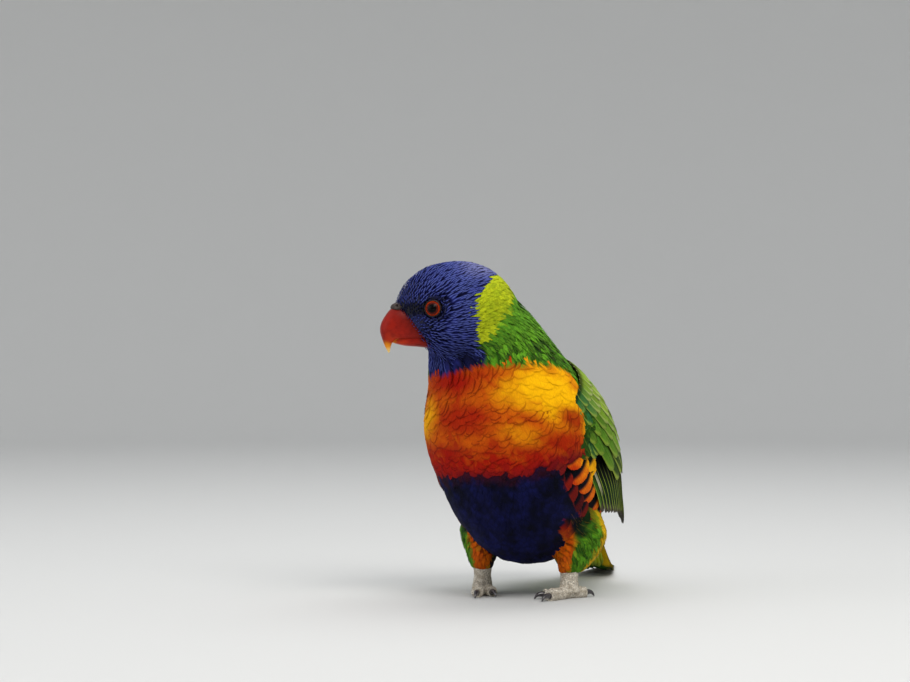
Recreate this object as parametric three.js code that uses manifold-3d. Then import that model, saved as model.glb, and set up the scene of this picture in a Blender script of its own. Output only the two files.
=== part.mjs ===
// A rainbow lorikeet standing alert with its head turned to its right, life size, as a still model.
// Millimetres, +Z up. The bird faces -Y and its left side is +X. The floor is z = 0, and the soles, the
// claws' tips and the end of the tail rest on it.

import * as THREE from "three";
import { mergeVertices } from "three/addons/utils/BufferGeometryUtils.js";
import Module from "manifold-3d";

const wasm = await Module();
wasm.setup();

// Driving dimensions, in millimetres and degrees.
const GAP = 0.3; // clear gap between pieces that touch
const HEAD_TURN = 56; // how far the head is turned to the bird's right
const HEAD_AT = [-20, -42, 147]; // middle of the skull
const ANKLE = { x: 23.5, y: 6, z: 12.5 };
const TOE_IN = 30; // how far each foot points inwards
const EYE = { f: 11.2, u: -3.4, ball: 4.4, sunk: 2.5, forward: 22, halfWidth: 15.7 };
const WING_LIFT = { flight: 1.0, secondary: 2.0, greater: 2.9, median: 3.6, lesser: 4.0 };
const VANE = 0.55; // thickness of a flight feather
const CUT_SIZE = 400; // side of a block that is larger than the bird

const RAD = Math.PI / 180;
const UP = new THREE.Vector3(0, 0, 1);

// Repeatable random numbers from 0 to 1, so that each build gives the same bird.
let seed = 7;
function random() {
  seed = (seed * 16807) % 2147483647;
  return seed / 2147483647;
}

const vary = (size, share) => size * (1 + share * (2 * random() - 1));
const mix = THREE.MathUtils.lerp;

// A smooth run through rows of numbers: the function returned gives the row at t from 0 to 1.
function smooth(rows) {
  const last = rows.length - 1;
  return (t) => {
    const u = THREE.MathUtils.clamp(t, 0, 1) * last;
    const i = Math.min(Math.floor(u), last - 1);
    const f = u - i;
    const before = rows[Math.max(i - 1, 0)];
    const after = rows[Math.min(i + 2, last)];
    return rows[i].map((b, k) => {
      const c = rows[i + 1][k];
      const m0 = (c - before[k]) / 2;
      const m1 = (after[k] - b) / 2;
      return b + f * (m0 + f * (3 * (c - b) - 2 * m0 - m1 + f * (2 * (b - c) + m0 + m1)));
    });
  };
}

// A closed geometry through rings of the same number of points, with a fan over each end. alike splits the
// second half of each ring as the first half is split, so that a thin strip's two faces can't cross.
function loft(rings, alike = false) {
  const n = rings[0].length;
  const middle = (ring) => ring.reduce((a, p) => a.add(p), new THREE.Vector3()).divideScalar(n);
  const points = [...rings.flat(), middle(rings[0]), middle(rings.at(-1))];
  const first = rings.length * n;
  const faces = [];
  for (let i = 0; i < n; i++) {
    const j = (i + 1) % n;
    for (let r = 0; r + 1 < rings.length; r++) {
      const a = r * n;
      const b = a + n;
      if (alike && i >= n / 2) faces.push(a + i, a + j, b + i, a + j, b + j, b + i);
      else faces.push(a + i, a + j, b + j, a + i, b + j, b + i);
    }
    const top = first - n;
    faces.push(first, j, i, first + 1, top + i, top + j);
  }
  const geometry = new THREE.BufferGeometry().setFromPoints(points);
  geometry.setIndex(faces);
  return geometry;
}

// A closed geometry as a manifold-3d solid, turned face out if it came inside out.
function solid(geometry) {
  const bare = geometry.index ? geometry.toNonIndexed() : geometry.clone();
  bare.deleteAttribute("normal");
  bare.deleteAttribute("uv");
  const merged = mergeVertices(bare, 1e-4);
  const vertProperties = merged.attributes.position.array;
  const triVerts = new Uint32Array(merged.index.array);
  const made = new wasm.Manifold(new wasm.Mesh({ numProp: 3, vertProperties, triVerts }));
  if (made.volume() > 0) return made;
  triVerts.reverse();
  return new wasm.Manifold(new wasm.Mesh({ numProp: 3, vertProperties, triVerts }));
}

const unite = (solids) => solids.reduce((all, s) => all.add(s));

// The largest closed piece of a solid, so that no loose scrap of a cut stays.
function largest(whole) {
  return whole.decompose().sort((a, b) => b.volume() - a.volume())[0];
}

// Everything on the side of a plane that its normal points to, to part a whole into nodes.
function halfSpace(point, normal) {
  const box = new THREE.BoxGeometry(CUT_SIZE, CUT_SIZE, CUT_SIZE).translate(0, 0, (CUT_SIZE + GAP) / 2);
  box.applyQuaternion(new THREE.Quaternion().setFromUnitVectors(UP, normal.clone().normalize()));
  return solid(box.translate(point.x, point.y, point.z));
}

const floorBlock = solid(new THREE.BoxGeometry(CUT_SIZE, CUT_SIZE, CUT_SIZE).translate(0, 0, -CUT_SIZE / 2));

// A point on a rounded section: angle 0 is the back, 90 the left side and 180 the belly. fullness is one
// power for the upper half and one for the lower, and a power under 1 squares that half.
function sectionPoint(centre, left, up, angle, halfWidth, upper, lower, fullness = [1, 1]) {
  const s = Math.sin(angle * RAD);
  const c = Math.cos(angle * RAD);
  const power = fullness[c > 0 ? 0 : 1];
  const wide = halfWidth * Math.sign(s) * Math.abs(s) ** power;
  const high = (c > 0 ? upper : lower) * Math.sign(c) * Math.abs(c) ** power;
  return centre.clone().addScaledVector(left, wide).addScaledVector(up, high);
}

// Trunk: rump, belly, breast and neck on one curved spine, from the rump's end at t = 0 to the skull at
// t = 1. Each row is the spine's x, y, z, the half width, and the height above and below the spine.
const trunk = smooth([
  [0, 85, 25.5, 6.5, 3, 5],
  [0, 76, 32, 13, 7, 13],
  [0, 64, 39.5, 21, 13, 24],
  [0, 48, 48, 28, 21, 34],
  [0, 31, 57, 35, 28, 47],
  [0, 13, 67, 39.5, 32, 52.5],
  [-0.5, -3, 79, 43, 33, 46.5],
  [-2, -14, 91, 44, 31, 35],
  [-4, -20, 104, 39.5, 30.5, 28],
  [-7, -25, 117, 33, 31, 24],
  [-11, -30, 130, 27.5, 30, 18.8],
  [-15.5, -35, 142, 21.5, 24.5, 15],
  [-19, -39.5, 152, 15, 16, 12],
  [-20.5, -41, 158, 7, 8, 6],
]);
const TORSO_TOP = 0.623; // where the torso ends and the neck begins, along the spine
const TRUNK_STEPS = 26;
const TRUNK_SIDES = 24;
const BODY_FULLNESS = [0.94, 0.94];

function frameOn(run, t, step = 0.01) {
  const [x, y, z, ...sizes] = run(t);
  const ahead = new THREE.Vector3(...run(Math.min(t + step, 1)));
  const behind = new THREE.Vector3(...run(Math.max(t - step, 0)));
  const forward = ahead.sub(behind).normalize();
  const up = new THREE.Vector3().crossVectors(forward, new THREE.Vector3(1, 0, 0)).normalize();
  const left = new THREE.Vector3().crossVectors(up, forward);
  return { centre: new THREE.Vector3(x, y, z), forward, left, up, sizes };
}

function trunkSolid(grow) {
  const rings = [];
  for (let i = 0; i <= TRUNK_STEPS; i++) {
    const { centre, left, up, sizes } = frameOn(trunk, i / TRUNK_STEPS);
    const [w, a, b] = sizes.map((size) => size + grow);
    const ring = [];
    for (let k = 0; k < TRUNK_SIDES; k++) {
      ring.push(sectionPoint(centre, left, up, (k * 360) / TRUNK_SIDES, w, a, b, BODY_FULLNESS));
    }
    rings.push(ring);
  }
  return solid(loft(rings));
}

// Head: its own frame has f ahead along the bill, l to the bird's left and u up, from the skull's middle.
const headAhead = new THREE.Vector3(-Math.sin(HEAD_TURN * RAD), -Math.cos(HEAD_TURN * RAD), 0);
const headLeft = new THREE.Vector3().crossVectors(UP, headAhead);

function headPoint(f, l, u) {
  const at = new THREE.Vector3(...HEAD_AT);
  return at.addScaledVector(headAhead, f).addScaledVector(headLeft, l).addScaledVector(UP, u);
}

// Each row is f, the top, the bottom and the half width of the skull with its plumage.
const skull = smooth([
  [27.2, -0.5, -4.5, 2.6],
  [25.6, 3.8, -7, 5.4],
  [22.3, 9.2, -10.5, 8.8],
  [18.3, 13, -15.5, 12],
  [13, 16.6, -22, 14.8],
  [5, 19.2, -27.5, 17.6],
  [-6, 20.2, -29, 18.8],
  [-16, 18, -26, 18],
  [-25, 12.6, -21, 15],
  [-32, 4, -13, 9],
]);
const SKULL_STEPS = 16;
const SKULL_SIDES = 20;

function skullSolid(grow) {
  const rings = [];
  for (let i = 0; i <= SKULL_STEPS; i++) {
    const [f, top, bottom, halfWidth] = skull(i / SKULL_STEPS);
    const centre = headPoint(f, 0, (top + bottom) / 2);
    const high = (top - bottom) / 2 + grow;
    const ring = [];
    for (let k = 0; k < SKULL_SIDES; k++) {
      const angle = (k * 360) / SKULL_SIDES;
      ring.push(sectionPoint(centre, headLeft, UP, angle, halfWidth + grow, high, high));
    }
    rings.push(ring);
  }
  return solid(loft(rings));
}

// Bill: each row is the upper edge's f and u, the lower edge's f and u, and the half width.
const upperBill = smooth([
  [22, -1.5, 11, -18, 6.4],
  [28.4, -3, 16.5, -18.2, 6.5],
  [32, -7, 21.5, -18, 6.1],
  [34, -11, 25, -18, 5.3],
  [34.3, -14.5, 27, -18.4, 4.3],
  [33.2, -18.5, 28.2, -19.8, 3],
  [31.9, -21.8, 28.8, -21.2, 1.8],
  [30.2, -24.6, 29.6, -24.3, 0.5],
]);
const lowerBill = smooth([
  [11, -16.8, 9, -22.6, 5],
  [17.4, -17, 16, -21.8, 5.2],
  [22, -17.2, 21.6, -21.4, 4.6],
  [26, -17.6, 25.6, -20.6, 3.2],
  [28.4, -18.8, 28.3, -19.8, 1.2],
]);
// The two halves are flat where they meet, along the line of the mouth.
const UPPER_FULLNESS = [0.85, 0.35];
const LOWER_FULLNESS = [0.3, 0.85];
const BILL_STEPS = 10;
const BILL_SIDES = 12;

function billSolid(run, fullness, grow) {
  const rings = [];
  for (let i = 0; i <= BILL_STEPS; i++) {
    const [f0, u0, f1, u1, halfWidth] = run(i / BILL_STEPS);
    const top = headPoint(f0, 0, u0);
    const bottom = headPoint(f1, 0, u1);
    const centre = top.clone().add(bottom).divideScalar(2);
    const rise = top.sub(bottom);
    const high = rise.length() / 2 + grow;
    const ring = [];
    for (let k = 0; k < BILL_SIDES; k++) {
      const angle = (k * 360) / BILL_SIDES;
      const up = rise.clone().normalize();
      ring.push(sectionPoint(centre, headLeft, up, angle, halfWidth + grow, high, high, fullness));
    }
    rings.push(ring);
  }
  return solid(loft(rings));
}

function ball(at, radius, squash, detail) {
  const geometry = new THREE.SphereGeometry(radius, ...detail).scale(...squash);
  geometry.rotateX(Math.PI / 2);
  geometry.rotateZ(Math.atan2(headAhead.y, headAhead.x));
  return solid(geometry.translate(at.x, at.y, at.z));
}

// Cere: the bare saddle over the bill's root, with a nostril in each side.
const CERE = { f: 25.8, u: -2.3, radius: 1, reach: [3.7, 3, 5] };
const NOSTRIL = { f: 27, u: -1.9, l: 4.1, radius: 0.8, squash: [1.3, 1, 1.6] };

function cereSolid(headGrown, billGrown) {
  const swell = ball(headPoint(CERE.f, 0, CERE.u), CERE.radius, CERE.reach, [12, 8]);
  const holes = [-1, 1].map((side) => {
    const at = headPoint(NOSTRIL.f, side * NOSTRIL.l, NOSTRIL.u);
    return ball(at, NOSTRIL.radius, NOSTRIL.squash, [6, 4]);
  });
  return largest(swell.subtract(headGrown).subtract(billGrown).subtract(unite(holes)));
}

// Eyes: each ball looks outwards and a little ahead, inside a raised ring of lids.
function eyeAxis(side) {
  const turned = headLeft.clone().multiplyScalar(side * Math.cos(EYE.forward * RAD));
  return turned.addScaledVector(headAhead, Math.sin(EYE.forward * RAD));
}

function skinAt(side) {
  return headPoint(EYE.f, side * EYE.halfWidth, EYE.u);
}

function eyeCentre(side) {
  return skinAt(side).addScaledVector(eyeAxis(side), -EYE.sunk);
}

function eyeBall(side, grow) {
  const geometry = new THREE.SphereGeometry(EYE.ball + grow, 12, 10);
  const at = eyeCentre(side);
  return solid(geometry.translate(at.x, at.y, at.z));
}

const LID = { inner: 3.5, outer: 4.6, low: -2.5, high: 0.95, crest: 4.0, round: 0.25, sides: 14 };

function lidRing(side) {
  const profile = [
    [LID.inner, LID.low],
    [LID.outer, LID.low],
    [LID.outer, LID.round],
    [LID.crest, LID.high],
    [LID.inner, LID.high - LID.round],
    [LID.inner, LID.low],
  ];
  const ring = new THREE.LatheGeometry(profile.map(([r, z]) => new THREE.Vector2(r, z)), LID.sides);
  const turn = new THREE.Quaternion().setFromUnitVectors(new THREE.Vector3(0, 1, 0), eyeAxis(side));
  ring.applyQuaternion(turn);
  const at = skinAt(side);
  return solid(ring.translate(at.x, at.y, at.z));
}

// Thighs: the feathered shanks. Each row is x outwards, y, z, and the half width across and along. Their
// sections are turned, so that their long way runs outwards and back.
const thighRows = smooth([
  [ANKLE.x + 0.3, 6.5, 12.8, 5.6, 7],
  [ANKLE.x + 2.2, 9.4, 18, 7.4, 11],
  [ANKLE.x + 3.5, 12.4, 25, 9.8, 14.6],
  [ANKLE.x + 2.8, 12.8, 33, 12.4, 15.8],
  [ANKLE.x - 0.6, 12.4, 41, 11.6, 16.6],
  [ANKLE.x - 4.6, 12.4, 48, 9.2, 15.4],
]);
const THIGH_SPLAY = 25 * RAD;
const THIGH_STEPS = 8;
const THIGH_SIDES = 18;

function thighSolid(side) {
  const rings = [];
  for (let i = 0; i <= THIGH_STEPS; i++) {
    const [x, y, z, across, along] = thighRows(i / THIGH_STEPS);
    const ring = [];
    for (let k = 0; k < THIGH_SIDES; k++) {
      const a = (k * 2 * Math.PI) / THIGH_SIDES;
      const point = new THREE.Vector3(across * Math.cos(a), along * Math.sin(a), z);
      point.applyAxisAngle(UP, -THIGH_SPLAY).add(new THREE.Vector3(x, y, 0));
      ring.push(point.setX(side * point.x));
    }
    rings.push(ring);
  }
  return solid(loft(rings));
}

// Feet: a short shank and four toes each, two ahead and two behind, with flat soles.
// Each toe is its turn from the foot's own heading, its length, and its radius at the root.
const TOES = [
  { name: "inner_front", turn: 14, length: 13.5, radius: 2.8, claw: 5.8 },
  { name: "outer_front", turn: -16, length: 17, radius: 3.1, claw: 6.6 },
  { name: "outer_hind", turn: -168, length: 9, radius: 3, claw: 5.2 },
  { name: "inner_hind", turn: 154, length: 7, radius: 2.6, claw: 4.8 },
];
const SHANK = { radii: [5.2, 4.8, 4.3, 4.6], top: ANKLE.z, base: 3, sides: 12 };
const TOE = { root: 1.05, end: 0.88, swell: 0.1, pads: 3, sole: 0.86, steps: 6, sides: 9 };
const CLAW = { radius: 1.6, slim: 0.8, point: 0.2, rise: 1.1, low: 0.35, curl: 1.25, steps: 4, sides: 7 };

function footFrame(side, turn) {
  const heading = (270 - side * (TOE_IN + turn)) * RAD;
  const ahead = new THREE.Vector3(Math.cos(heading), Math.sin(heading), 0);
  return { ahead, across: new THREE.Vector3().crossVectors(UP, ahead) };
}

function tube(path, radii, across, sides) {
  const rings = path.map((p, i) => {
    const next = path[Math.min(i + 1, path.length - 1)];
    const last = path[Math.max(i - 1, 0)];
    const along = next.clone().sub(last).normalize();
    const up = new THREE.Vector3().crossVectors(along, across).normalize();
    const ring = [];
    for (let k = 0; k < sides; k++) {
      ring.push(sectionPoint(p, across, up, (k * 360) / sides, ...radii[i]));
    }
    return ring;
  });
  return solid(loft(rings));
}

function toeSolid(side, toe) {
  const { ahead, across } = footFrame(side, toe.turn);
  const path = [];
  const radii = [];
  for (let i = 0; i <= TOE.steps; i++) {
    const s = i / TOE.steps;
    const pad = 1 + TOE.swell * Math.cos(s * Math.PI * 2 * TOE.pads);
    const r = toe.radius * mix(TOE.root, TOE.end, s) * pad;
    const at = new THREE.Vector3(side * ANKLE.x, ANKLE.y, r * TOE.sole);
    path.push(at.addScaledVector(ahead, s * toe.length));
    radii.push([r, r, r]);
  }
  return tube(path, radii, across, TOE.sides);
}

function clawSolid(side, toe) {
  const { ahead, across } = footFrame(side, toe.turn);
  const start = toe.radius * TOE.end * 0.95;
  const path = [];
  const radii = [];
  for (let i = 0; i <= CLAW.steps; i++) {
    const s = i / CLAW.steps;
    const reach = toe.length + GAP + toe.claw * Math.sin(s * CLAW.curl) * 0.95;
    const arch = CLAW.rise * Math.sin(Math.min(s * 1.9, 1.4));
    const high = start + arch - (start + CLAW.rise - CLAW.low) * s ** 2.2;
    path.push(new THREE.Vector3(side * ANKLE.x, ANKLE.y, high).addScaledVector(ahead, reach));
    const r = CLAW.radius * mix(1, CLAW.point, s ** 1.3);
    radii.push([r * CLAW.slim, r, r]);
  }
  return tube(path, radii, across, CLAW.sides);
}

function footSolid(side) {
  const top = new THREE.Vector3(side * ANKLE.x, ANKLE.y, SHANK.top - GAP);
  const low = new THREE.Vector3(side * ANKLE.x, ANKLE.y, SHANK.base);
  const { across } = footFrame(side, 0);
  const path = [low, low.clone().lerp(top, 0.35), low.clone().lerp(top, 0.7), top];
  const radii = SHANK.radii.map((r) => [r, r, r]);
  const shank = tube(path, radii, across, SHANK.sides);
  return unite([shank, ...TOES.map((toe) => toeSolid(side, toe))]);
}

// Wing shell: the smooth surface that the folded wing's feathers lie on. Rows run from the shoulder at
// u = 0 to the wing's tip at u = 1, as the trunk's do.
const shell = smooth([
  [-2.5, -17, 100, 38.5, 28, 32],
  [-0.8, 2, 83, 42, 34, 44],
  [0, 21, 69, 41, 33, 45],
  [0, 40, 57, 36, 28.5, 40],
  [0, 58, 47.5, 30, 21.5, 30],
  [0, 76, 39.5, 24, 14, 20],
  [0, 95, 31, 17, 7, 10],
]);

const SHELL_END = 0.995; // how far along the shell its heading can still be told

function shellAt(side, u, angle, lift) {
  const back = frameOn((t) => shell(1 - t), 1 - Math.min(u, SHELL_END));
  const [w, a, b] = back.sizes;
  const left = back.left.multiplyScalar(side);
  const point = sectionPoint(back.centre, left, back.up, angle, w + lift, a + lift, b + lift);
  const s = Math.sin(angle * RAD);
  const c = Math.cos(angle * RAD);
  const normal = left.clone().multiplyScalar(s / w).addScaledVector(back.up, c / (c > 0 ? a : b));
  return { point, normal: normal.normalize() };
}

// One feather's vane on a surface, as a closed strip of four-cornered sections. surface(s) gives the
// point and normal at s from root to tip, and roll lifts one long edge over the neighbour's.
const LONG_FROM = 0.42; // share of its surface's length from which a feather is made as a long one
const LONG_VANE = { at: [0, 0.33, 0.66, 0.9, 1], wide: [0.6, 0.9, 1, 0.85, 0.35] };
const SHORT_VANE = { at: [0, 0.5, 0.86, 1], wide: [0.65, 1, 0.86, 0.35] };

function vaneSolid(surface, form, halfWidth, thickness, roll) {
  const stations = form.at.map((s) => surface(s));
  const rings = stations.map(({ point, normal }, i) => {
    const next = stations[Math.min(i + 1, stations.length - 1)].point;
    const last = stations[Math.max(i - 1, 0)].point;
    const along = next.clone().sub(last).normalize();
    const side = new THREE.Vector3().crossVectors(along, normal).normalize();
    side.applyAxisAngle(along, roll * RAD);
    const out = new THREE.Vector3().crossVectors(side, along);
    const wide = side.multiplyScalar(halfWidth * form.wide[i]);
    const thick = out.multiplyScalar((thickness / 2) * (form.at[i] < 0.9 ? 1 : 0.8));
    return [
      point.clone().add(wide).add(thick),
      point.clone().sub(wide).add(thick),
      point.clone().sub(wide).sub(thick),
      point.clone().add(wide).sub(thick),
    ];
  });
  return solid(loft(rings, true));
}

// Rows of wing feathers. Each row runs from its first feather to its last, along a line of roots and a line of
// tips given as [u, angle]. bow bends the first feather's middle down towards the belly by that angle.
const WING_ROWS = [
  {
    lift: "flight",
    count: 7,
    root: [[0.13, 104], [0.2, 84]],
    tip: [[1, 96], [0.86, 24]],
    wide: [5.2, 5.6],
    roll: 10,
    bow: 13,
  },
  {
    lift: "secondary",
    count: 5,
    root: [[0.12, 94], [0.1, 50]],
    tip: [[0.42, 94], [0.84, 16]],
    wide: [6.8, 6.6],
    roll: 9,
  },
  {
    lift: "secondary",
    count: 3,
    root: [[0.12, 42], [0.1, 16]],
    tip: [[0.76, 16], [0.66, 5]],
    wide: [6.4, 5.8],
    roll: 8,
  },
  {
    lift: "secondary",
    count: 3,
    root: [[0.12, 105], [0.14, 92]],
    tip: [[0.42, 114], [0.38, 97]],
    wide: [4.6, 5],
    roll: 9,
    bow: 5,
  },
  {
    lift: "greater",
    count: 5,
    root: [[0.08, 98], [0.08, 34]],
    tip: [[0.27, 98], [0.42, 27]],
    wide: [6.4, 6.8],
    roll: 8,
  },
  {
    lift: "median",
    count: 5,
    root: [[0.05, 102], [0.04, 36]],
    tip: [[0.19, 102], [0.29, 31]],
    wide: [6.4, 6.8],
    roll: 7,
  },
  {
    lift: "lesser",
    count: 4,
    root: [[0.02, 100], [0.02, 38]],
    tip: [[0.13, 100], [0.17, 36]],
    wide: [7.2, 8],
    roll: 6,
  },
];
const ROOT_SUNK = 1.6; // how much deeper a feather lies at its root than at its tip

function wingRow(side, row) {
  const made = [];
  for (let i = 0; i < row.count; i++) {
    const k = i / (row.count - 1);
    const pick = (ends, j) => mix(ends[0][j], ends[1][j], k);
    const lift = WING_LIFT[row.lift];
    const tipU = pick(row.tip, 0) * vary(1, 0.015);
    const surface = (s) => {
      const u = mix(pick(row.root, 0), tipU, s);
      const bend = (row.bow ?? 0) * (1 - k) * Math.sin(Math.PI * s);
      const angle = mix(pick(row.root, 1), pick(row.tip, 1), s) + bend;
      return shellAt(side, u, angle, lift - ROOT_SUNK * (1 - s) ** 2);
    };
    const form = tipU - pick(row.root, 0) > LONG_FROM ? LONG_VANE : SHORT_VANE;
    made.push(vaneSolid(surface, form, mix(...row.wide, k), VANE, -side * row.roll));
  }
  return made;
}

// Wing pad: the arm under its smallest coverts, which the feathers are rooted in.
// It narrows towards the wing's tip by the taper, in degrees, and overhangs the shoulder ahead.
const PAD = { u: [-0.02, 0.3], angle: [26, 114], taper: 12, high: 3.6, low: -2.5, steps: 7 };
const PAD_SWELL = [0.1, 0.93]; // the part of a half wave that its height follows from end to end
const PAD_EDGE = [0.04, 0.96]; // the same from edge to edge
const OVERHANG = new THREE.Vector3(0, -80, 60);

function padSolid(side) {
  const rings = [];
  for (let i = 0; i <= PAD.steps; i++) {
    const k = i / PAD.steps;
    const u = mix(...PAD.u, k);
    const swell = Math.sqrt(Math.sin(Math.PI * mix(...PAD_SWELL, k)));
    const ring = [];
    for (let j = 0; j <= PAD.steps; j++) {
      const m = j / PAD.steps;
      const edge = Math.sqrt(Math.sin(Math.PI * mix(...PAD_EDGE, m)));
      const angle = mix(PAD.angle[0], PAD.angle[1] - PAD.taper * k, m);
      ring.push(shellAt(side, Math.max(u, 0), angle, PAD.low + (PAD.high - PAD.low) * swell * edge).point);
    }
    for (let j = PAD.steps; j >= 0; j--) {
      const angle = mix(PAD.angle[0], PAD.angle[1] - PAD.taper * k, j / PAD.steps);
      ring.push(shellAt(side, Math.max(u, 0), angle, PAD.low).point);
    }
    rings.push(ring.map((p) => p.addScaledVector(OVERHANG, Math.max(-u, 0))));
  }
  return solid(loft(rings));
}

function wingSolid(side, trunkGrown) {
  const feathers = WING_ROWS.flatMap((row) => wingRow(side, row));
  return largest(unite([padSolid(side), ...feathers]).subtract(trunkGrown));
}

// Tail: the middle line drops from the rump and lies along the floor. Rows are x, y, z.
const tailLine = smooth([
  [0, 60, 44],
  [0, 71, 37],
  [-0.5, 82, 28.5],
  [-1.5, 93, 18.5],
  [-3, 104, 9.6],
  [-5, 118, 3.8],
  [-8, 134, 1.6],
  [-11, 150, 0.2],
  [-14, 166, -1.2],
]);
const TAIL_PAIRS = 5;
const TAIL = { root: 0.1, tips: [1, 0.62], fan: [1.2, 8.5], wide: [5, 5.4], layer: 0.6, roots: [1.5, 5.5] };
const TAIL_COVERTS = [
  { count: 5, from: 0.05, to: 0.42, spread: 6.5, fan: 6.5, wide: 5, lift: [2.6, 1.7] },
  { count: 4, from: 0, to: 0.28, spread: 6.5, fan: 7, wide: 5.4, lift: [4, 2.7] },
  { count: 4, from: 0.12, to: 0.52, spread: 6, fan: 5.5, wide: 5.4, lift: [-5.6, -2.8] },
];

// The quills' core: each row is its place along the tail, its half width and its height above and below.
const TAIL_CORE = [
  [0, 9, 5, 7],
  [0.1, 10, 4.4, 8],
  [0.2, 10.5, 3.4, 7.4],
  [0.3, 10.5, 2.2, 5.4],
  [0.4, 9.5, 1.2, 3],
  [0.45, 8, 0.6, 1.6],
];
const CORE_SIDES = 14;

function tailAt(t, across, lift) {
  const { centre, up, left } = frameOn((k) => tailLine(1 - k).concat(0), 1 - t);
  return { point: centre.addScaledVector(left, across).addScaledVector(up, lift), normal: up };
}

function tailFeather(start, end, t0, t1, lift, halfWidth, roll) {
  const surface = (s) => tailAt(mix(t0, t1, s), mix(start, end, s), mix(...lift, s));
  return vaneSolid(surface, t1 - t0 > LONG_FROM ? LONG_VANE : SHORT_VANE, halfWidth, VANE, roll);
}

function tailSolid(trunkGrown) {
  const made = [];
  for (let i = 0; i < TAIL_PAIRS; i++) {
    const k = i / (TAIL_PAIRS - 1);
    for (const side of [-1, 1]) {
      const start = side * mix(...TAIL.roots, k);
      const end = side * mix(...TAIL.fan, k);
      const lift = 1.2 - TAIL.layer * i + (side > 0 ? 0.2 : 0);
      const tip = mix(...TAIL.tips, k);
      made.push(tailFeather(start, end, TAIL.root, tip, [lift, lift], mix(...TAIL.wide, k), side * 2));
    }
  }
  for (const row of TAIL_COVERTS) {
    for (let i = 0; i < row.count; i++) {
      const k = (2 * i) / (row.count - 1) - 1;
      const lift = row.lift.map((h) => h * (1 - 0.3 * k * k));
      made.push(tailFeather(k * row.spread, k * row.fan, row.from, row.to, lift, row.wide, 5 * k));
    }
  }
  const core = TAIL_CORE.map(([t]) => tailAt(t, 0, 0).point);
  made.push(tube(core, TAIL_CORE.map(([, ...radii]) => radii), new THREE.Vector3(1, 0, 0), CORE_SIDES));
  return largest(unite(made).subtract(trunkGrown).subtract(floorBlock));
}

const COLOURS = {
  violet: "#3d3f93",
  neck: "#4f8d22",
  breast: "#e2621a",
  wing: "#3f8a2a",
  thigh: "#6d8f22",
  tail: "#3f7d24",
  bill: "#d8391b",
  cere: "#57514d",
  foot: "#9a938a",
  claw: "#2c2a2b",
  eye: "#b2401f",
};

const bird = new THREE.Group();

// A solid as a named mesh of the bird, with its own material.
function addNode(name, body, colour, roughness) {
  const { vertProperties, triVerts } = body.getMesh();
  const geometry = new THREE.BufferGeometry();
  geometry.setAttribute("position", new THREE.BufferAttribute(vertProperties, 3));
  geometry.setIndex(new THREE.BufferAttribute(triVerts, 1));
  const flat = geometry.toNonIndexed();
  flat.computeVertexNormals();
  const material = new THREE.MeshStandardMaterial({ color: COLOURS[colour], roughness, metalness: 0 });
  const mesh = new THREE.Mesh(flat, material);
  mesh.name = name;
  bird.add(mesh);
}

const trunkGrown = trunkSolid(GAP);
const skullGrown = skullSolid(GAP);
const lids = unite([lidRing(1), lidRing(-1)]);
const sockets = unite([eyeBall(1, GAP), eyeBall(-1, GAP)]);
const flesh = unite([trunkSolid(0), skullSolid(0), lids]).subtract(sockets);

// The head parts from the neck on a plane through throat and nape, the neck from the torso across the spine.
const throat = headPoint(13, 0, -25);
const nape = headPoint(-25, 0, -3);
const headCut = headLeft.clone().cross(nape.clone().sub(throat));
const torsoTop = frameOn(trunk, TORSO_TOP);
const belowHead = flesh.intersect(halfSpace(throat, headCut.clone().negate()));

addNode("head", largest(flesh.intersect(halfSpace(throat, headCut))), "violet", 0.8);
addNode("neck", largest(belowHead.intersect(halfSpace(torsoTop.centre, torsoTop.forward))), "neck", 0.85);
addNode(
  "torso",
  largest(belowHead.intersect(halfSpace(torsoTop.centre, torsoTop.forward.clone().negate()))),
  "breast",
  0.85,
);

const upper = billSolid(upperBill, UPPER_FULLNESS, 0).subtract(skullGrown);
const billGrown = billSolid(upperBill, UPPER_FULLNESS, GAP);
const lower = billSolid(lowerBill, LOWER_FULLNESS, 0).subtract(skullGrown).subtract(billGrown);
addNode("bill_upper", largest(upper), "bill", 0.35);
addNode("bill_lower", largest(lower), "bill", 0.35);
addNode("cere", cereSolid(skullGrown, billGrown), "cere", 0.6);

const SIDES = [
  { name: "left", side: 1 },
  { name: "right", side: -1 },
];
for (const { name, side } of SIDES) {
  addNode(`eye_${name}`, eyeBall(side, 0), "eye", 0.1);
  addNode(`wing_${name}`, wingSolid(side, trunkGrown), "wing", 0.75);
  addNode(`thigh_${name}`, largest(thighSolid(side).subtract(trunkGrown)), "thigh", 0.85);
  addNode(`foot_${name}`, largest(footSolid(side).subtract(floorBlock)), "foot", 0.7);
  for (const toe of TOES) {
    addNode(`claw_${name}_${toe.name}`, clawSolid(side, toe).subtract(floorBlock), "claw", 0.4);
  }
}
addNode("tail", tailSolid(trunkGrown), "tail", 0.75);

// The origin is on the floor, under the middle of the bird's own box.
const middle = new THREE.Box3().setFromObject(bird).getCenter(new THREE.Vector3());
bird.position.set(-middle.x, -middle.y, 0);

export default bird;
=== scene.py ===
import math

import bmesh
import bpy
import numpy as np
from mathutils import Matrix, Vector, noise
from mathutils.bvhtree import BVHTree


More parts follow.
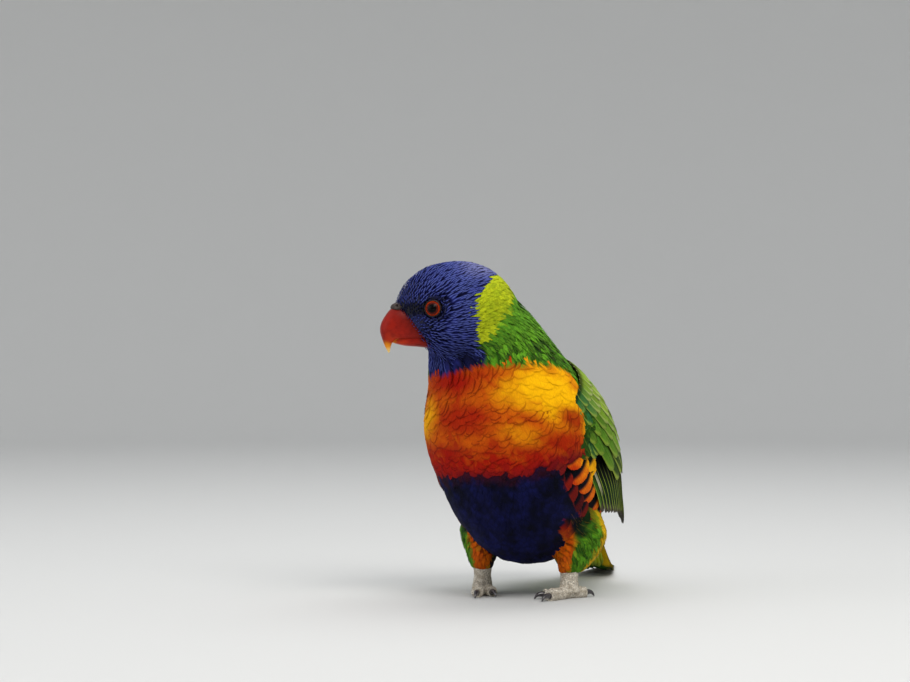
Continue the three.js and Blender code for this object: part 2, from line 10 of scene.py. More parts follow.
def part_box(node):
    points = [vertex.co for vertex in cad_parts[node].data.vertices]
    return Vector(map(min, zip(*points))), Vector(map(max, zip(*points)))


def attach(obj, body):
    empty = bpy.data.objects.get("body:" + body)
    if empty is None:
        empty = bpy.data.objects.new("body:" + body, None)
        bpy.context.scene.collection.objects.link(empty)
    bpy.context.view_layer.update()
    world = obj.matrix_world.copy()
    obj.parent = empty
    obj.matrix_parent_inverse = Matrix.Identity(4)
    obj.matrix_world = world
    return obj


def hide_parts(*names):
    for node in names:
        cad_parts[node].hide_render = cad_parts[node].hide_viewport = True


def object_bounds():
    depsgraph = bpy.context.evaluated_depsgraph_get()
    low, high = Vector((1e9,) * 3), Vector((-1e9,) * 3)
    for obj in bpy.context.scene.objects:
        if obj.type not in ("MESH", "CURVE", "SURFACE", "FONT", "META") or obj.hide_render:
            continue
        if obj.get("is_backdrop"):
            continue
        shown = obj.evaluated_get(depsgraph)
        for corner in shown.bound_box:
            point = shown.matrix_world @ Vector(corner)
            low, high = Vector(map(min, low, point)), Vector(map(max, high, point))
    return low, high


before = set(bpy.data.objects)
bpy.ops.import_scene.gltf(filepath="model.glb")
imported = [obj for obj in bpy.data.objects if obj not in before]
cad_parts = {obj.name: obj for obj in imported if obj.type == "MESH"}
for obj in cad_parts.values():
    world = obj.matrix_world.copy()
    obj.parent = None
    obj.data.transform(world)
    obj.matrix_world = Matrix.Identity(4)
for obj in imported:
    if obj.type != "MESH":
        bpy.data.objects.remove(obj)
cad_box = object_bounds()

# Flesh: the bird's own form under its plumage, as one closed skin over trunk, neck, head and shanks. It is
# the solids' form, smoothed, and drawn in by the coat's depth, so that the feathers' tips end where the
# solids do. Lengths are in the bird's own millimetres, measured from the floor between its ankles.
MM = 0.001
FOOT_REACH = 11.33  # how far the front of a foot lies ahead of the ankles' line
FLESH = ["torso", "neck", "head", "thigh_left", "thigh_right"]
SKIN_GRAIN = 0.0011  # size of the skin's net, in metres
left_foot, right_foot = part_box("foot_left"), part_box("foot_right")
STAND = np.array([(left_foot[1].x + right_foot[0].x) / 2, left_foot[0].y + FOOT_REACH * MM, 0])


def to_frame(points):
    return np.asarray(points) * MM + STAND


def from_frame(points):
    return (np.asarray(points) - STAND) / MM


def unit(v):
    return v / np.maximum(np.linalg.norm(v, axis=-1, keepdims=True), 1e-9)


def ease(low, high, x):
    k = np.clip((x - low) / (high - low), 0, 1)
    return k * k * (3 - 2 * k)


def mix(a, b, k):
    return a + (b - a) * k


def smooth(rows):
    """A smooth run through rows of numbers, as a function of t from 0 to 1."""
    rows = np.array(rows, float)
    last = len(rows) - 1

    def run(t):
        u = np.clip(np.atleast_1d(t), 0, 1) * last
        i = np.minimum(u.astype(int), last - 1)
        f = (u - i)[:, None]
        b, c = rows[i], rows[i + 1]
        m0, m1 = (c - rows[np.maximum(i - 1, 0)]) / 2, (rows[np.minimum(i + 2, last)] - b) / 2
        return b + f * (m0 + f * (3 * (c - b) - 2 * m0 - m1 + f * (2 * (b - c) + m0 + m1)))

    return run


def frames(run, t, step=0.01):
    """Centre, heading, left, up and sizes along a run."""
    row = run(t)
    heading = unit(run(np.minimum(t + step, 1))[:, :3] - run(np.maximum(t - step, 0))[:, :3])
    up = unit(np.cross(heading, [1, 0, 0]))
    return row[:, :3], heading, np.cross(up, heading), up, row[:, 3:]


# x, y, z, half width, height above and height below, from the rump to the skull
trunk = smooth(
    [
        [0, 85, 25.5, 6.5, 3, 5],
        [0, 76, 32, 13, 7, 13],
        [0, 64, 39.5, 21, 13, 24],
        [0, 48, 48, 28, 21, 34],
        [0, 31, 57, 35, 28, 47],
        [0, 13, 67, 39.5, 32, 52.5],
        [-0.5, -3, 79, 43, 33, 46.5],
        [-2, -14, 91, 44, 31, 35],
        [-4, -20, 104, 39.5, 30.5, 28],
        [-7, -25, 117, 33, 31, 24],
        [-11, -30, 130, 27.5, 30, 18.8],
        [-15.5, -35, 142, 21.5, 24.5, 15],
        [-19, -39.5, 152, 15, 16, 12],
        [-20.5, -41, 158, 7, 8, 6],
    ]
)
SPINE_STEPS = np.linspace(0, 1, 161)
spine = frames(trunk, SPINE_STEPS)

HEAD_TURN = math.radians(56)
HEAD_AT = np.array([-20, -42, 147.0])
ahead = np.array([-math.sin(HEAD_TURN), -math.cos(HEAD_TURN), 0])
head_left = np.cross([0, 0, 1], ahead)
BILL_BASE = (24, 0, -8)
DEPTH = {"bill": 0.7, "face": 1.9, "body": 3.0, "ankle": 0.3}  # the coat's, and its share left at the ankle


def head_point(f, side, u):
    f, side, u = np.broadcast_arrays(f, side, u)
    return HEAD_AT + f[..., None] * ahead + side[..., None] * head_left + u[..., None] * np.array([0, 0, 1])


def on_head(p):
    """A point's f ahead, l to the left and u up from the skull's middle."""
    off = p - HEAD_AT
    return off @ ahead, off @ head_left, off[:, 2]


def on_trunk(p):
    """A point's nearest station on the spine, and its angle round it: 0 on the back, 180 on the belly."""
    near = np.array([((p - c) ** 2).sum(1) for c in spine[0]]).argmin(0)
    off = p - spine[0][near]
    across = (off * spine[2][near]).sum(1) / spine[4][near, 0]
    rise = (off * spine[3][near]).sum(1) / spine[4][near, 1]
    return near, np.degrees(np.arctan2(across, rise))


def coat_depth(p):
    f, side, u = on_head(p)
    from_bill = np.linalg.norm(p - head_point(*BILL_BASE), axis=1)
    from_skull = np.sqrt(f**2 + side**2 + u**2)
    face = mix(DEPTH["bill"], DEPTH["face"], ease(5, 24, from_bill))
    return mix(face, DEPTH["body"], ease(22, 42, from_skull)) * mix(DEPTH["ankle"], 1, ease(11, 32, p[:, 2]))


def plain_mesh(thing):
    """The mesh of an object with its modifiers carried out."""
    seen = thing.evaluated_get(bpy.context.evaluated_depsgraph_get())
    return bpy.data.meshes.new_from_object(seen)


def add_object(name, mesh):
    thing = bpy.data.objects.new(name, mesh)
    bpy.context.scene.collection.objects.link(thing)
    return thing


def read(data, key, width=3):
    out = np.empty(len(data) * width)
    data.foreach_get(key, out)
    return out.reshape(-1, width) if width > 1 else out


def one_skin(name, mesh, grain, passes):
    """One closed and softened skin round shells that touch or cross."""
    caster = add_object(name, mesh)
    closing = caster.modifiers.new("one_skin", "REMESH")
    closing.mode, closing.voxel_size = "VOXEL", grain
    softening = caster.modifiers.new("soft", "SMOOTH")
    softening.factor, softening.iterations = 0.5, passes
    made = plain_mesh(caster)
    bpy.data.objects.remove(caster)
    return made


cast = bmesh.new()
for name in FLESH:
    cast.from_mesh(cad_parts[name].data)
bmesh.ops.remove_doubles(cast, verts=cast.verts, dist=1e-6)
cast_mesh = bpy.data.meshes.new("flesh_cast")
cast.to_mesh(cast_mesh)
cast.free()
skin_mesh = one_skin("flesh_cast", cast_mesh, SKIN_GRAIN, 12)
at = from_frame(read(skin_mesh.vertices, "co"))
at -= read(skin_mesh.vertex_normals, "vector") * coat_depth(at)[:, None]
skin_mesh.vertices.foreach_set("co", to_frame(at).ravel())
skin_mesh.update()
skin_faces = [tuple(face.vertices) for face in skin_mesh.polygons]
skin_tree = BVHTree.FromPolygons(at.tolist(), skin_faces)

# Markings: the colours of this race of lorikeet, as rules of where a feather grows. A violet face with pale
# shafts, a lime collar, a green back, an orange and yellow breast with dark rims, a navy belly, barred
# flanks, green thighs that are orange inside, and a yellow-green vent.


def paint(code):
    """A colour from its hex code, in linear light."""
    c = np.array([int(code[i : i + 2], 16) / 255 for i in (0, 2, 4)])
    return np.where(c <= 0.04045, c / 12.92, ((c + 0.055) / 1.055) ** 2.4)


def blend(a, b, k):
    return a + (b - a) * np.asarray(k)[..., None]


def mark(mesh, name, values):
    """Writes a number or a vector for each vertex."""
    values = np.asarray(values, float)
    kind, key = ("FLOAT", "value") if values.ndim == 1 else ("FLOAT_VECTOR", "vector")
    mesh.attributes.new(name, kind, "POINT").data.foreach_set(key, values.ravel())


INK = {
    "violet": paint("242a72"),
    "violet_dark": paint("0b0c28"),
    "violet_shaft": paint("4c589c"),
    "mauve": paint("77789a"),
    "lores": paint("07070f"),
    "lime": paint("b4c018"),
    "lime_deep": paint("82990f"),
    "green": paint("5c9a1f"),
    "green_deep": paint("24520d"),
    "green_black": paint("0a1c0c"),
    "yellow": paint("ffbe04"),
    "orange": paint("d26406"),
    "red": paint("9e1404"),
    "navy": paint("111547"),
    "navy_dark": paint("060714"),
    "plum": paint("3c0d1c"),
    "bar_red": paint("c02808"),
    "bar_orange": paint("ee7a0a"),
}
# Borders of the colours. The wing's is an angle round the trunk at a height. The throat's and the navy's are
# heights at a turn round the neck, the bib's are turns at a height, and the face's and the collar's are
# distances ahead of the skull's middle at a height on it. The legs' middles are at x and y at a height.
WING_EDGE = ([62, 75, 80, 85, 90, 96, 102, 110, 115, 118], [112, 111, 107, 102, 97, 92, 84, 78, 86, 90])
THROAT_EDGE = (
    [-120, -90, -66, -46, -22, -5, 11, 27, 35, 57, 70, 83, 92, 105],
    [112, 112, 109.5, 110.9, 113, 114.5, 115.9, 116.5, 115.8, 116.9, 116, 115.9, 113, 108],
)
NAVY_EDGE = ([-60, -33, -8, 4, 15, 26, 36, 45, 60], [62, 60, 61.3, 61.6, 61.8, 64, 67.5, 70, 71])
BIB_MIDDLE = ([110, 116, 127], [-25, -38, -52])
BIB_HALF = ([110, 116, 119, 127], [42, 50, 66, 80])
FACE_EDGE = (
    [-24, -20.4, -16, -11, -8, -3.6, 0.7, 5.1, 8.5, 13, 20],
    [-14.6, -14.2, -13.2, -12.4, -11.7, -11.7, -12.3, -14, -17.5, -24.4, -27],
)
COLLAR_EDGE = ([-22, -16, -12.7, -8.9, -2, 3, 11.5, 20], [-17, -21.2, -23.8, -27.2, -29.1, -33.5, -33, -33])
LEG_X = ([12, 21, 28, 36, 46], [23.5, 26.5, 27, 25.5, 21])
LEG_Y = ([12, 21, 28, 36, 46], [6, 11, 13, 11.5, 12])
# patches of the breast: share, turn round the neck, height, half width in degrees and half height
GOLD_PATCHES = [
    (1, 68, 104, 38, 17),
    (0.75, 38, 102, 26, 8),
    (0.4, 28, 83, 16, 6),
    (0.8, -62, 87, 17, 14),
    (0.85, 80, 84, 9, 8),
    (1, -104, 100, 28, 18),
]
RED_PATCHES = [
    (1, -30, 108, 42, 9),
    (0.9, -18, 90, 38, 9),
    (1, 73, 90, 13, 7),
    (0.85, 50, 79, 26, 6),
    (0.55, 10, 112, 40, 4),
]
RED_SPOT = (0.85, 72, 91, 11, 6)
NECK_STATION = 60  # where on the spine the neck begins


def wander(p, size, shift):
    """A soft random field over the body, about -1 to 1."""
    return np.array([noise.noise(Vector(q) / size + Vector((shift, 0, 0))) for q in p.tolist()]) * 1.7


def round_neck(p):
    """The direction of a point from the neck's middle: 0 ahead, 90 to the left."""
    line = spine[0][NECK_STATION:]
    centre = np.stack([np.interp(p[:, 2], line[:, 2], line[:, k]) for k in (0, 1)], 1)
    return np.degrees(np.arctan2(p[:, 0] - centre[:, 0], centre[:, 1] - p[:, 1]))


def breast_colours(turn, z, broad, streaky, navy_top):
    """The breast's colour, and how yellow and how red it is."""

    def patch(share, turn_at, z_at, turn_half, z_half):
        off = np.hypot((turn - turn_at) / turn_half, (z - z_at) / z_half)
        return share * ease(1.25, 0.3, off + 0.16 * broad + 0.1 * streaky)

    low_band = ease(82, 72, z + 3 * broad + 2 * streaky)
    red = np.max([low_band, *(patch(*row) for row in RED_PATCHES)], axis=0)
    yellow = np.max([patch(*row) for row in GOLD_PATCHES], axis=0) * (1 - patch(*RED_SPOT))
    warm = blend(INK["orange"], INK["red"], red * (1 - 0.8 * yellow))
    warm = blend(warm, INK["yellow"], yellow)
    warm = blend(warm, INK["orange"], 0.5 * ease(-0.1, -0.8, streaky) * ease(86, 76, z) * ease(64, 70, z))
    warm = blend(warm, INK["plum"], 0.6 * ease(0.15, 0.9, streaky) * ease(86, 70, z))
    warm = blend(warm, INK["plum"], 0.9 * ease(6.5, 0.5, z - navy_top - 2.5 * streaky))
    warm = blend(warm, INK["red"], (0.25 + 0.5 * ease(-0.1, 0.7, streaky)) * (1 - 0.9 * yellow))
    return warm, yellow, red


def leg_colours(x, y, z, small):
    """The thighs' colour, green outside and orange inside, and the direction from the leg's middle."""
    hip = np.degrees(np.arctan2(np.abs(x) - np.interp(z, *LEG_X), np.interp(z, *LEG_Y) - y))
    inner = ease(-64, -50, hip + 2 * small) * ease(17, 3, hip + 2 * small) * ease(42, 39, z)
    leg = blend(INK["green"], INK["green_deep"], np.clip(0.35 + 0.8 * small, 0, 1))
    leg = blend(leg, INK["green_black"], 0.9 * ease(31, 38, z + 3 * small) * ease(100, 70, hip))
    leg = blend(leg, INK["navy_dark"], 0.9 * ease(26, 33, z + 3 * small) * ease(62, 34, hip + 6 * small))
    leg = blend(leg, INK["yellow"], 0.7 * ease(96, 112, hip + 5 * small) * ease(142, 124, hip))
    redness = np.maximum(ease(28, 38, z), np.clip(0.3 + 0.5 * small, 0, 0.8))
    strip = blend(INK["orange"], INK["red"], redness)
    leg = blend(leg, blend(strip, INK["orange"], 0.5 * ease(19, 14, z)), inner)
    return blend(leg, INK["navy_dark"], ease(-54, -68, hip) * ease(-170, -150, hip)), hip


def plumage(p, part):
    """Colours of feathers whose tips lie at p: the tip's, the rim's and the shaft's, and the shares of the
    rim, the shaft and the painted shade at the edge.
    """
    n = len(p)
    f, _, u = on_head(p)
    angle = np.abs(on_trunk(p)[1])
    turn = round_neck(p)
    x, y, z = p.T
    small, wide = wander(p, 3.5, 7), wander(p, 11, 31)
    broad, streaky = wander(p * [1, 1, 2.2], 9, 63), wander(p * [1, 1, 4.5], 9, 17)
    ragged = small * 0.6
    gap = angle - np.interp(z, *WING_EDGE)
    no_thigh = part != "thigh"

    # back and neck
    low_neck = ease(134, 120, z) * (part == "neck") * np.clip(0.3 + 0.8 * small, 0, 0.9)
    patch = ease(26, 9, np.abs(turn - 3)) * ease(130, 122, z) * (z > 108)
    # painted shade: the back's feathers darken to green_black in the hollow under the wing's front edge
    hollow_shade = 0.75 * ease(-22, -8, gap) * ease(104, 96, z) * ease(58, 64, z) * (part == "torso")
    tip = blend(INK["green"], INK["green_deep"], np.clip(0.2 + 0.45 * wide + 0.3 * small, 0, 0.8))
    tip = blend(tip, INK["green_black"], np.maximum(low_neck, 0.9 * patch))
    tip = blend(tip, INK["green_black"], hollow_shade)
    rim = blend(INK["green_deep"], INK["green_black"], 0.9 * patch)
    rim = blend(rim, INK["green_black"], hollow_shade)
    shaft = np.tile(INK["lime"], (n, 1))
    rim_share, shaft_share, edge_shade_share = np.full(n, 0.35), np.full(n, 0.15), np.full(n, 0.2)

    # breast
    throat, navy_top = np.interp(turn, *THROAT_EDGE), np.interp(turn, *NAVY_EDGE)
    breast = (z < throat + ragged) & (gap > 0) & no_thigh
    warm, yellow, red = breast_colours(turn, z, broad, streaky, navy_top)
    tip[breast] = warm[breast]
    rim[breast] = blend(warm, INK["orange"], 0.25 * (1 - yellow) * (1 - red))[breast]
    rim_share[breast], shaft_share[breast] = 0.8, 0
    edge_shade_share[breast] = (0.15 + 0.6 * (1 - yellow) * np.clip(0.6 + small, 0, 1))[breast]

    # belly, flanks and vent
    belly = (breast | ((z < 75) & (angle > 62) & no_thigh)) & (z < navy_top + 1.5 * small)
    navy = blend(INK["navy"], INK["navy_dark"], np.clip(0.5 + 0.5 * small + 0.4 * wide, 0, 1))
    seam = 0.9 * ease(-4.5, -0.5, z - navy_top - 2 * streaky) * np.clip(0.7 + 0.6 * small, 0, 1)
    tip[belly] = blend(navy, INK["plum"], seam)[belly]
    rim[belly], rim_share[belly], shaft_share[belly], edge_shade_share[belly] = INK["navy_dark"], 0.4, 0, 0
    flank = belly & (y < 44) & (angle < 139) & (z > 38)
    bars = blend(INK["bar_red"], INK["bar_orange"], ease(133, 117, angle + 5 * small))
    bars = blend(bars, INK["yellow"], 0.75 * ease(119, 108, angle + 4 * small - 0.35 * (z - 54)))
    tip[flank] = blend(INK["navy_dark"], INK["green_black"], ease(124, 112, angle))[flank]
    rim[flank], rim_share[flank] = bars[flank], ease(142, 130, angle + 3 * small)[flank]
    vent = (y + 2 * small > 33) & (angle > 62) & (z < 50) & no_thigh
    tip[vent] = blend(INK["lime"], INK["green"], np.clip(0.35 + 0.6 * small, 0, 1))[vent]
    rim[vent], rim_share[vent], shaft_share[vent] = INK["green_deep"], 0.6, 0.15

    # thighs, and the trunk's feathers that hang over their tops
    leg, hip = leg_colours(x, y, z, small)
    over_leg = (z < 41) & (np.abs(x) > 25 + 0.5 * small) & (np.abs(hip) < 60) & (y > -13)
    thigh = ~no_thigh | over_leg
    tip[thigh], rim[thigh], shaft[thigh] = leg[thigh], (leg * 0.45)[thigh], INK["yellow"]
    rim_share[thigh], edge_shade_share[thigh], shaft_share[thigh] = 0.35, 0.1, 0.06

    # head, bib and collar
    face = f > np.interp(u, *FACE_EDGE) + ragged
    bib = np.abs(turn - np.interp(z, *BIB_MIDDLE)) < np.interp(z, *BIB_HALF) + 4 * small
    violet = np.where(z > 127, face, bib) & (z > throat + ragged) & no_thigh
    collar = ~violet & (u > -22) & no_thigh
    collar_share = ease(-1.6, 1.6, f - np.interp(u, *COLLAR_EDGE) - 1.5 * small) * collar
    lime = blend(INK["lime"], INK["lime_deep"], np.clip(0.25 + 0.5 * small - 0.4 * ease(0, 10, u), 0, 1))
    tip, rim = blend(tip, lime, collar_share), blend(rim, INK["lime_deep"], collar_share)
    crown = ease(8, 18, u) * ease(0, -20, f)
    ink = blend(INK["violet"], INK["violet_dark"], np.clip(0.3 + 0.6 * small, 0, 0.85))
    ink = blend(ink, INK["mauve"], 0.75 * crown)
    lores = ease(4.5, 2, np.abs(u + 3)) * ease(10, 13, f) * ease(27, 24, f)
    lores = np.maximum(lores, 0.8 * patch)
    tip[violet] = blend(ink, INK["lores"], 0.9 * lores)[violet]
    rim[violet], rim_share[violet], edge_shade_share[violet] = INK["violet_dark"], 0.9, 0
    shaft[violet] = blend(INK["violet_shaft"], INK["mauve"] * 1.7, 0.85 * crown)[violet]
    shaft_share[violet] = ((0.95 - 0.3 * np.clip(wide, 0, 1)) * (1 - 0.9 * lores))[violet]
    return {
        "tip": tip,
        "rim": rim,
        "shaft": shaft,
        "shares": np.column_stack([rim_share, shaft_share, edge_shade_share]),
        "violet": violet,
        "warm": breast & ~belly & ~violet & ~vent & ~thigh & (collar_share <= 0.5),
        "belly": belly,
        "flank": flank,
        "gap": gap,
    }


def surface_of(name):
    """A solid's surface, for finding what lies nearest."""
    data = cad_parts[name].data
    corners = from_frame(read(data.vertices, "co"))
    return BVHTree.FromPolygons(corners.tolist(), [tuple(face.vertices) for face in data.polygons])


def nearest_gaps(p, trees):
    """How far each point is from each of the surfaces."""
    return np.array([[tree.find_nearest(q)[3] for q in p.tolist()] for tree in trees])


part_trees = [surface_of(name) for name in FLESH]
part_names = np.array([name.split("_")[0] for name in FLESH])


def part_of(p):
    """The part of the body that each point belongs to."""
    return part_names[nearest_gaps(p, part_trees).argmin(0)]


def wire(tree, kind, inputs=(), **settings):
    """A node with its settings, and each input linked or set."""
    node = tree.nodes.new(kind)
    for key, value in settings.items():
        setattr(node, key, value)
    for key, value in dict(inputs).items():
        if isinstance(value, bpy.types.NodeSocket):
            tree.links.new(value, node.inputs[key])
        else:
            node.inputs[key].default_value = value
    return node


def reckon(tree, operation, *values):
    return wire(tree, "ShaderNodeMath", enumerate(values), operation=operation).outputs[0]


def times(tree, product, *factors):
    for factor in factors:
        product = reckon(tree, "MULTIPLY", product, factor)
    return product


def steer(tree, operation, *values):
    """A sum of vectors, or a vector times a number."""
    places = [0, 3] if operation == "SCALE" else range(3)
    return wire(tree, "ShaderNodeVectorMath", zip(places, values), operation=operation).outputs[0]


def split(tree, vector):
    return wire(tree, "ShaderNodeSeparateXYZ", {0: vector}).outputs


def join(tree, *values):
    return wire(tree, "ShaderNodeCombineXYZ", enumerate(values)).outputs[0]


def mottle(tree, scale, detail):
    """Fine noise through a piece, with so many waves to a metre."""
    spot = wire(tree, "ShaderNodeTexCoord").outputs["Object"]
    inputs = {"Vector": spot, "Scale": scale, "Detail": detail}
    return wire(tree, "ShaderNodeTexNoise", inputs).outputs[0]


def finish_material(name, **constants):
    """A material with a shader whose fixed sockets are set directly."""
    material = bpy.data.materials.new(name)
    material.use_nodes = True
    shader = material.node_tree.nodes["Principled BSDF"]
    for key, value in constants.items():
        shader.inputs[key.replace("_", " ")].default_value = value
    return material, material.node_tree, shader


def noted(tree, name, output="Vector"):
    """What the piece's own vertices note."""
    return wire(tree, "ShaderNodeAttribute", attribute_name=name, attribute_type="GEOMETRY").outputs[output]


def ramp(tree, value, low, high):
    """0 below low, 1 above high, smooth between."""
    made = wire(tree, "ShaderNodeMapRange", {"Value": value, "From Min": low, "From Max": high})
    made.interpolation_type = "SMOOTHSTEP"
    return made.outputs["Result"]


def tint_mix(tree, share, a, b, how="MIX"):
    made = wire(tree, "ShaderNodeMix", {0: share}, data_type="RGBA", blend_type=how)
    for place, value in ((6, a), (7, b)):
        if isinstance(value, bpy.types.NodeSocket):
            tree.links.new(value, made.inputs[place])
        else:
            made.inputs[place].default_value = (*value, 1)
    return made.outputs[2]


def finish_with(tree, shader, colour, height=None, depth=0.0):
    """Links the shader's colour and the relief, which is as deep as said, in metres."""
    tree.links.new(colour, shader.inputs["Base Color"])
    if height is not None:
        made = wire(tree, "ShaderNodeBump", {"Height": height, "Distance": depth, "Strength": 1.0})
        tree.links.new(made.outputs[0], shader.inputs["Normal"])


skin_material, tree, shader = finish_material("down_over_skin", Roughness=0.9)
down = mottle(tree, 900.0, 3.0)
shade = tint_mix(tree, 0.75, noted(tree, "tip", "Color"), (0.02, 0.02, 0.02))
colour = tint_mix(tree, ramp(tree, down, 0.3, 0.7), shade, noted(tree, "tip", "Color"))
finish_with(tree, shader, colour, down, 0.0003)
skin = add_object("skin", skin_mesh)
skin_part = part_of(at)
mark(skin_mesh, "tip", plumage(at, skin_part)["tip"])
skin_mesh.materials.clear()
skin_mesh.materials.append(skin_material)
skin_mesh.shade_smooth()
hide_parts(*FLESH)
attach(skin, "root")

# Contour feathers: each is a thin, curved vane, rooted in the skin and laid back over the next, from the
# bill to the tail. One tree of nodes makes every coat from its roots, with softly frayed tips.
PATCH = 0.003  # width of a feather's own patch in the bake
DENSEST = 4e6  # most roots to a square metre, before the close ones are dropped


def vane_tree():
    """Nodes that lay one curved vane from each root, with its tip rounded and frayed."""
    tree = bpy.data.node_groups.new("contour_feathers", "GeometryNodeTree")
    inputs = [
        ("Geometry", "Geometry", None),
        ("Strips", "Int", 8),
        ("Steps", "Int", 6),
        ("Fray", "Float", 0.1),
        ("Rounding", "Float", 0.2),
        ("Camber", "Float", 0.2),
        ("Root shape", "Float", 0.16),
        ("Tip shape", "Float", 0.86),
        ("Seed", "Int", 1),
        ("Finish", "Material", None),
    ]
    for name, kind, value in inputs:
        made = tree.interface.new_socket(name, in_out="INPUT", socket_type="NodeSocket" + kind)
        if value is not None:
            made.default_value = value
    tree.interface.new_socket("Geometry", in_out="OUTPUT", socket_type="NodeSocketGeometry")
    given = wire(tree, "NodeGroupInput").outputs

    def field(name, kind="FLOAT_VECTOR"):
        found = wire(tree, "GeometryNodeInputNamedAttribute", {"Name": name}, data_type=kind)
        return found.outputs["Attribute"]

    def store(geometry, name, value, kind="FLOAT_VECTOR", domain="POINT"):
        inputs = {"Geometry": geometry, "Name": name, "Value": value}
        return wire(tree, "GeometryNodeStoreNamedAttribute", inputs, data_type=kind, domain=domain).outputs[0]

    grid = wire(tree, "GeometryNodeMeshGrid", {"Vertices X": given["Steps"], "Vertices Y": given["Strips"]})
    blank = store(grid.outputs["Mesh"], "grid", grid.outputs["UV Map"])
    placed = wire(tree, "GeometryNodeInstanceOnPoints", {"Points": given["Geometry"], "Instance": blank})
    whole = wire(tree, "GeometryNodeRealizeInstances", {"Geometry": placed.outputs[0]}).outputs[0]
    along, strip = split(tree, field("grid"))[:2]
    across = reckon(tree, "MULTIPLY_ADD", strip, 2.0, -1.0)
    outward = reckon(tree, "ABSOLUTE", across)
    chance = wire(tree, "FunctionNodeRandomValue", {"Seed": given["Seed"]}, data_type="FLOAT").outputs[1]
    late = reckon(tree, "MAXIMUM", reckon(tree, "MULTIPLY_ADD", along, 2.0, -1.0), 0.0)
    torn = times(tree, chance, late, given["Fray"])
    drawn = times(tree, outward, outward, along, given["Rounding"])
    s = reckon(tree, "SUBTRACT", reckon(tree, "SUBTRACT", along, torn), drawn)
    rest = reckon(tree, "SUBTRACT", 1.0, s)
    shape = {"Value": along, "To Min": given["Root shape"], "To Max": given["Tip shape"]}
    turn = times(tree, wire(tree, "ShaderNodeMapRange", shape).outputs[0], math.pi)
    wide = times(tree, reckon(tree, "POWER", reckon(tree, "SINE", turn), 0.7), field("half_width", "FLOAT"))
    path = steer(tree, "SCALE", field("root_at"), times(tree, rest, rest))
    shares = {
        "bend_at": times(tree, s, rest, 2.0),
        "tip_at": times(tree, s, s),
        "sideways": times(tree, across, wide),
        "rise": times(tree, outward, outward, wide, given["Camber"], -1.0),
    }
    for name, share in shares.items():
        path = steer(tree, "ADD", path, steer(tree, "SCALE", field(name), share))
    shaped = wire(tree, "GeometryNodeSetPosition", {"Geometry": whole, "Position": path}).outputs[0]
    shaped = store(shaped, "vane", join(tree, along, across, chance))
    ways_out = {0: along, 4: field("foot_rise"), 5: field("tip_rise")}
    shaped = store(shaped, "lay", wire(tree, "ShaderNodeMix", ways_out, data_type="VECTOR").outputs[1])
    place = steer(tree, "MULTIPLY_ADD", join(tree, along, strip), (PATCH, PATCH, 0), field("skin_place"))
    shaped = store(shaped, "OFBake", place, "FLOAT2", "CORNER")
    shaped = wire(tree, "GeometryNodeSetShadeSmooth", {"Geometry": shaped}).outputs[0]
    painted = {"Geometry": shaped, "Material": given["Finish"]}
    shaped = wire(tree, "GeometryNodeSetMaterial", painted).outputs[0]
    wire(tree, "NodeGroupOutput", {"Geometry": shaped})
    return tree


def root_tree():
    """Nodes that strew roots evenly over a surface."""
    tree = bpy.data.node_groups.new("feather_roots", "GeometryNodeTree")
    for name, kind in (("Geometry", "Geometry"), ("Spacing", "Float"), ("Seed", "Int")):
        tree.interface.new_socket(name, in_out="INPUT", socket_type="NodeSocket" + kind)
    tree.interface.new_socket("Geometry", in_out="OUTPUT", socket_type="NodeSocketGeometry")
    given = wire(tree, "NodeGroupInput").outputs
    inputs = {
        "Mesh": given["Geometry"],
        "Distance Min": given["Spacing"],
        "Density Max": DENSEST,
        "Seed": given["Seed"],
    }
    thrown = wire(tree, "GeometryNodeDistributePointsOnFaces", inputs, distribute_method="POISSON")
    kept = wire(tree, "GeometryNodePointsToVertices", {0: thrown.outputs["Points"]})
    wire(tree, "NodeGroupOutput", {"Geometry": kept.outputs[0]})
    return tree


def run_tree(thing, tree, **values):
    """The plain mesh that a tree of nodes makes of an object."""
    step = thing.modifiers.new("growth", "NODES")
    step.node_group = tree
    for item in tree.interface.items_tree:
        if item.in_out == "INPUT" and item.name.replace(" ", "_") in values:
            step[item.identifier] = values[item.name.replace(" ", "_")]
    mesh = plain_mesh(thing)
    thing.modifiers.remove(step)
    return mesh


ROOTS, VANES = root_tree(), vane_tree()


def roots(spacing, seed):
    """Evenly strewn points on the skin."""
    mesh = run_tree(skin, ROOTS, Spacing=spacing * MM, Seed=seed)
    points = from_frame(read(mesh.vertices, "co"))
    bpy.data.meshes.remove(mesh)
    return points


def on_skin(p):
    """The nearest points of the skin and the directions out of it there."""
    found = [skin_tree.find_nearest(q) for q in p.tolist()]
    return np.array([hit[0] for hit in found]), unit(np.array([hit[1] for hit in found]))


BILL_ROOT = (16, 0, -13)  # the gape, which the face's feathers lie away from


def lie(p, part):
    """The direction in which feathers lie at p: along the trunk, away from the bill, and down the legs."""
    station, _ = on_trunk(p)
    back = -spine[1][station]
    f, side, u = on_head(p)
    away = unit(p - head_point(*BILL_ROOT)) - 0.35 * ahead
    near_head = ease(34, 20, np.sqrt(f**2 + side**2 + (u * 0.8) ** 2))
    near_head = np.maximum(near_head, ease(116, 128, p[:, 2]) * ease(-20, -6, f))
    way = blend(back, unit(away), near_head)
    leg = (part == "thigh") * ease(50, 36, p[:, 2])
    return unit(blend(way, np.array([0, 0.25, -1]), leg))


def turned(v, axis, angle):
    c, s = np.cos(angle)[:, None], np.sin(angle)[:, None]
    return v * c + np.cross(axis, v) * s + axis * (axis * v).sum(1)[:, None] * (1 - c)


EYE = {"f": 11.2, "u": -3.4, "out": 15.7, "forward": math.radians(22), "ball": 4.4, "sunk": 2.5}


def eye_axis(side):
    return side * head_left * math.cos(EYE["forward"]) + ahead * math.sin(EYE["forward"])


def eye_at(side):
    return head_point(EYE["f"], side * EYE["out"], EYE["u"])


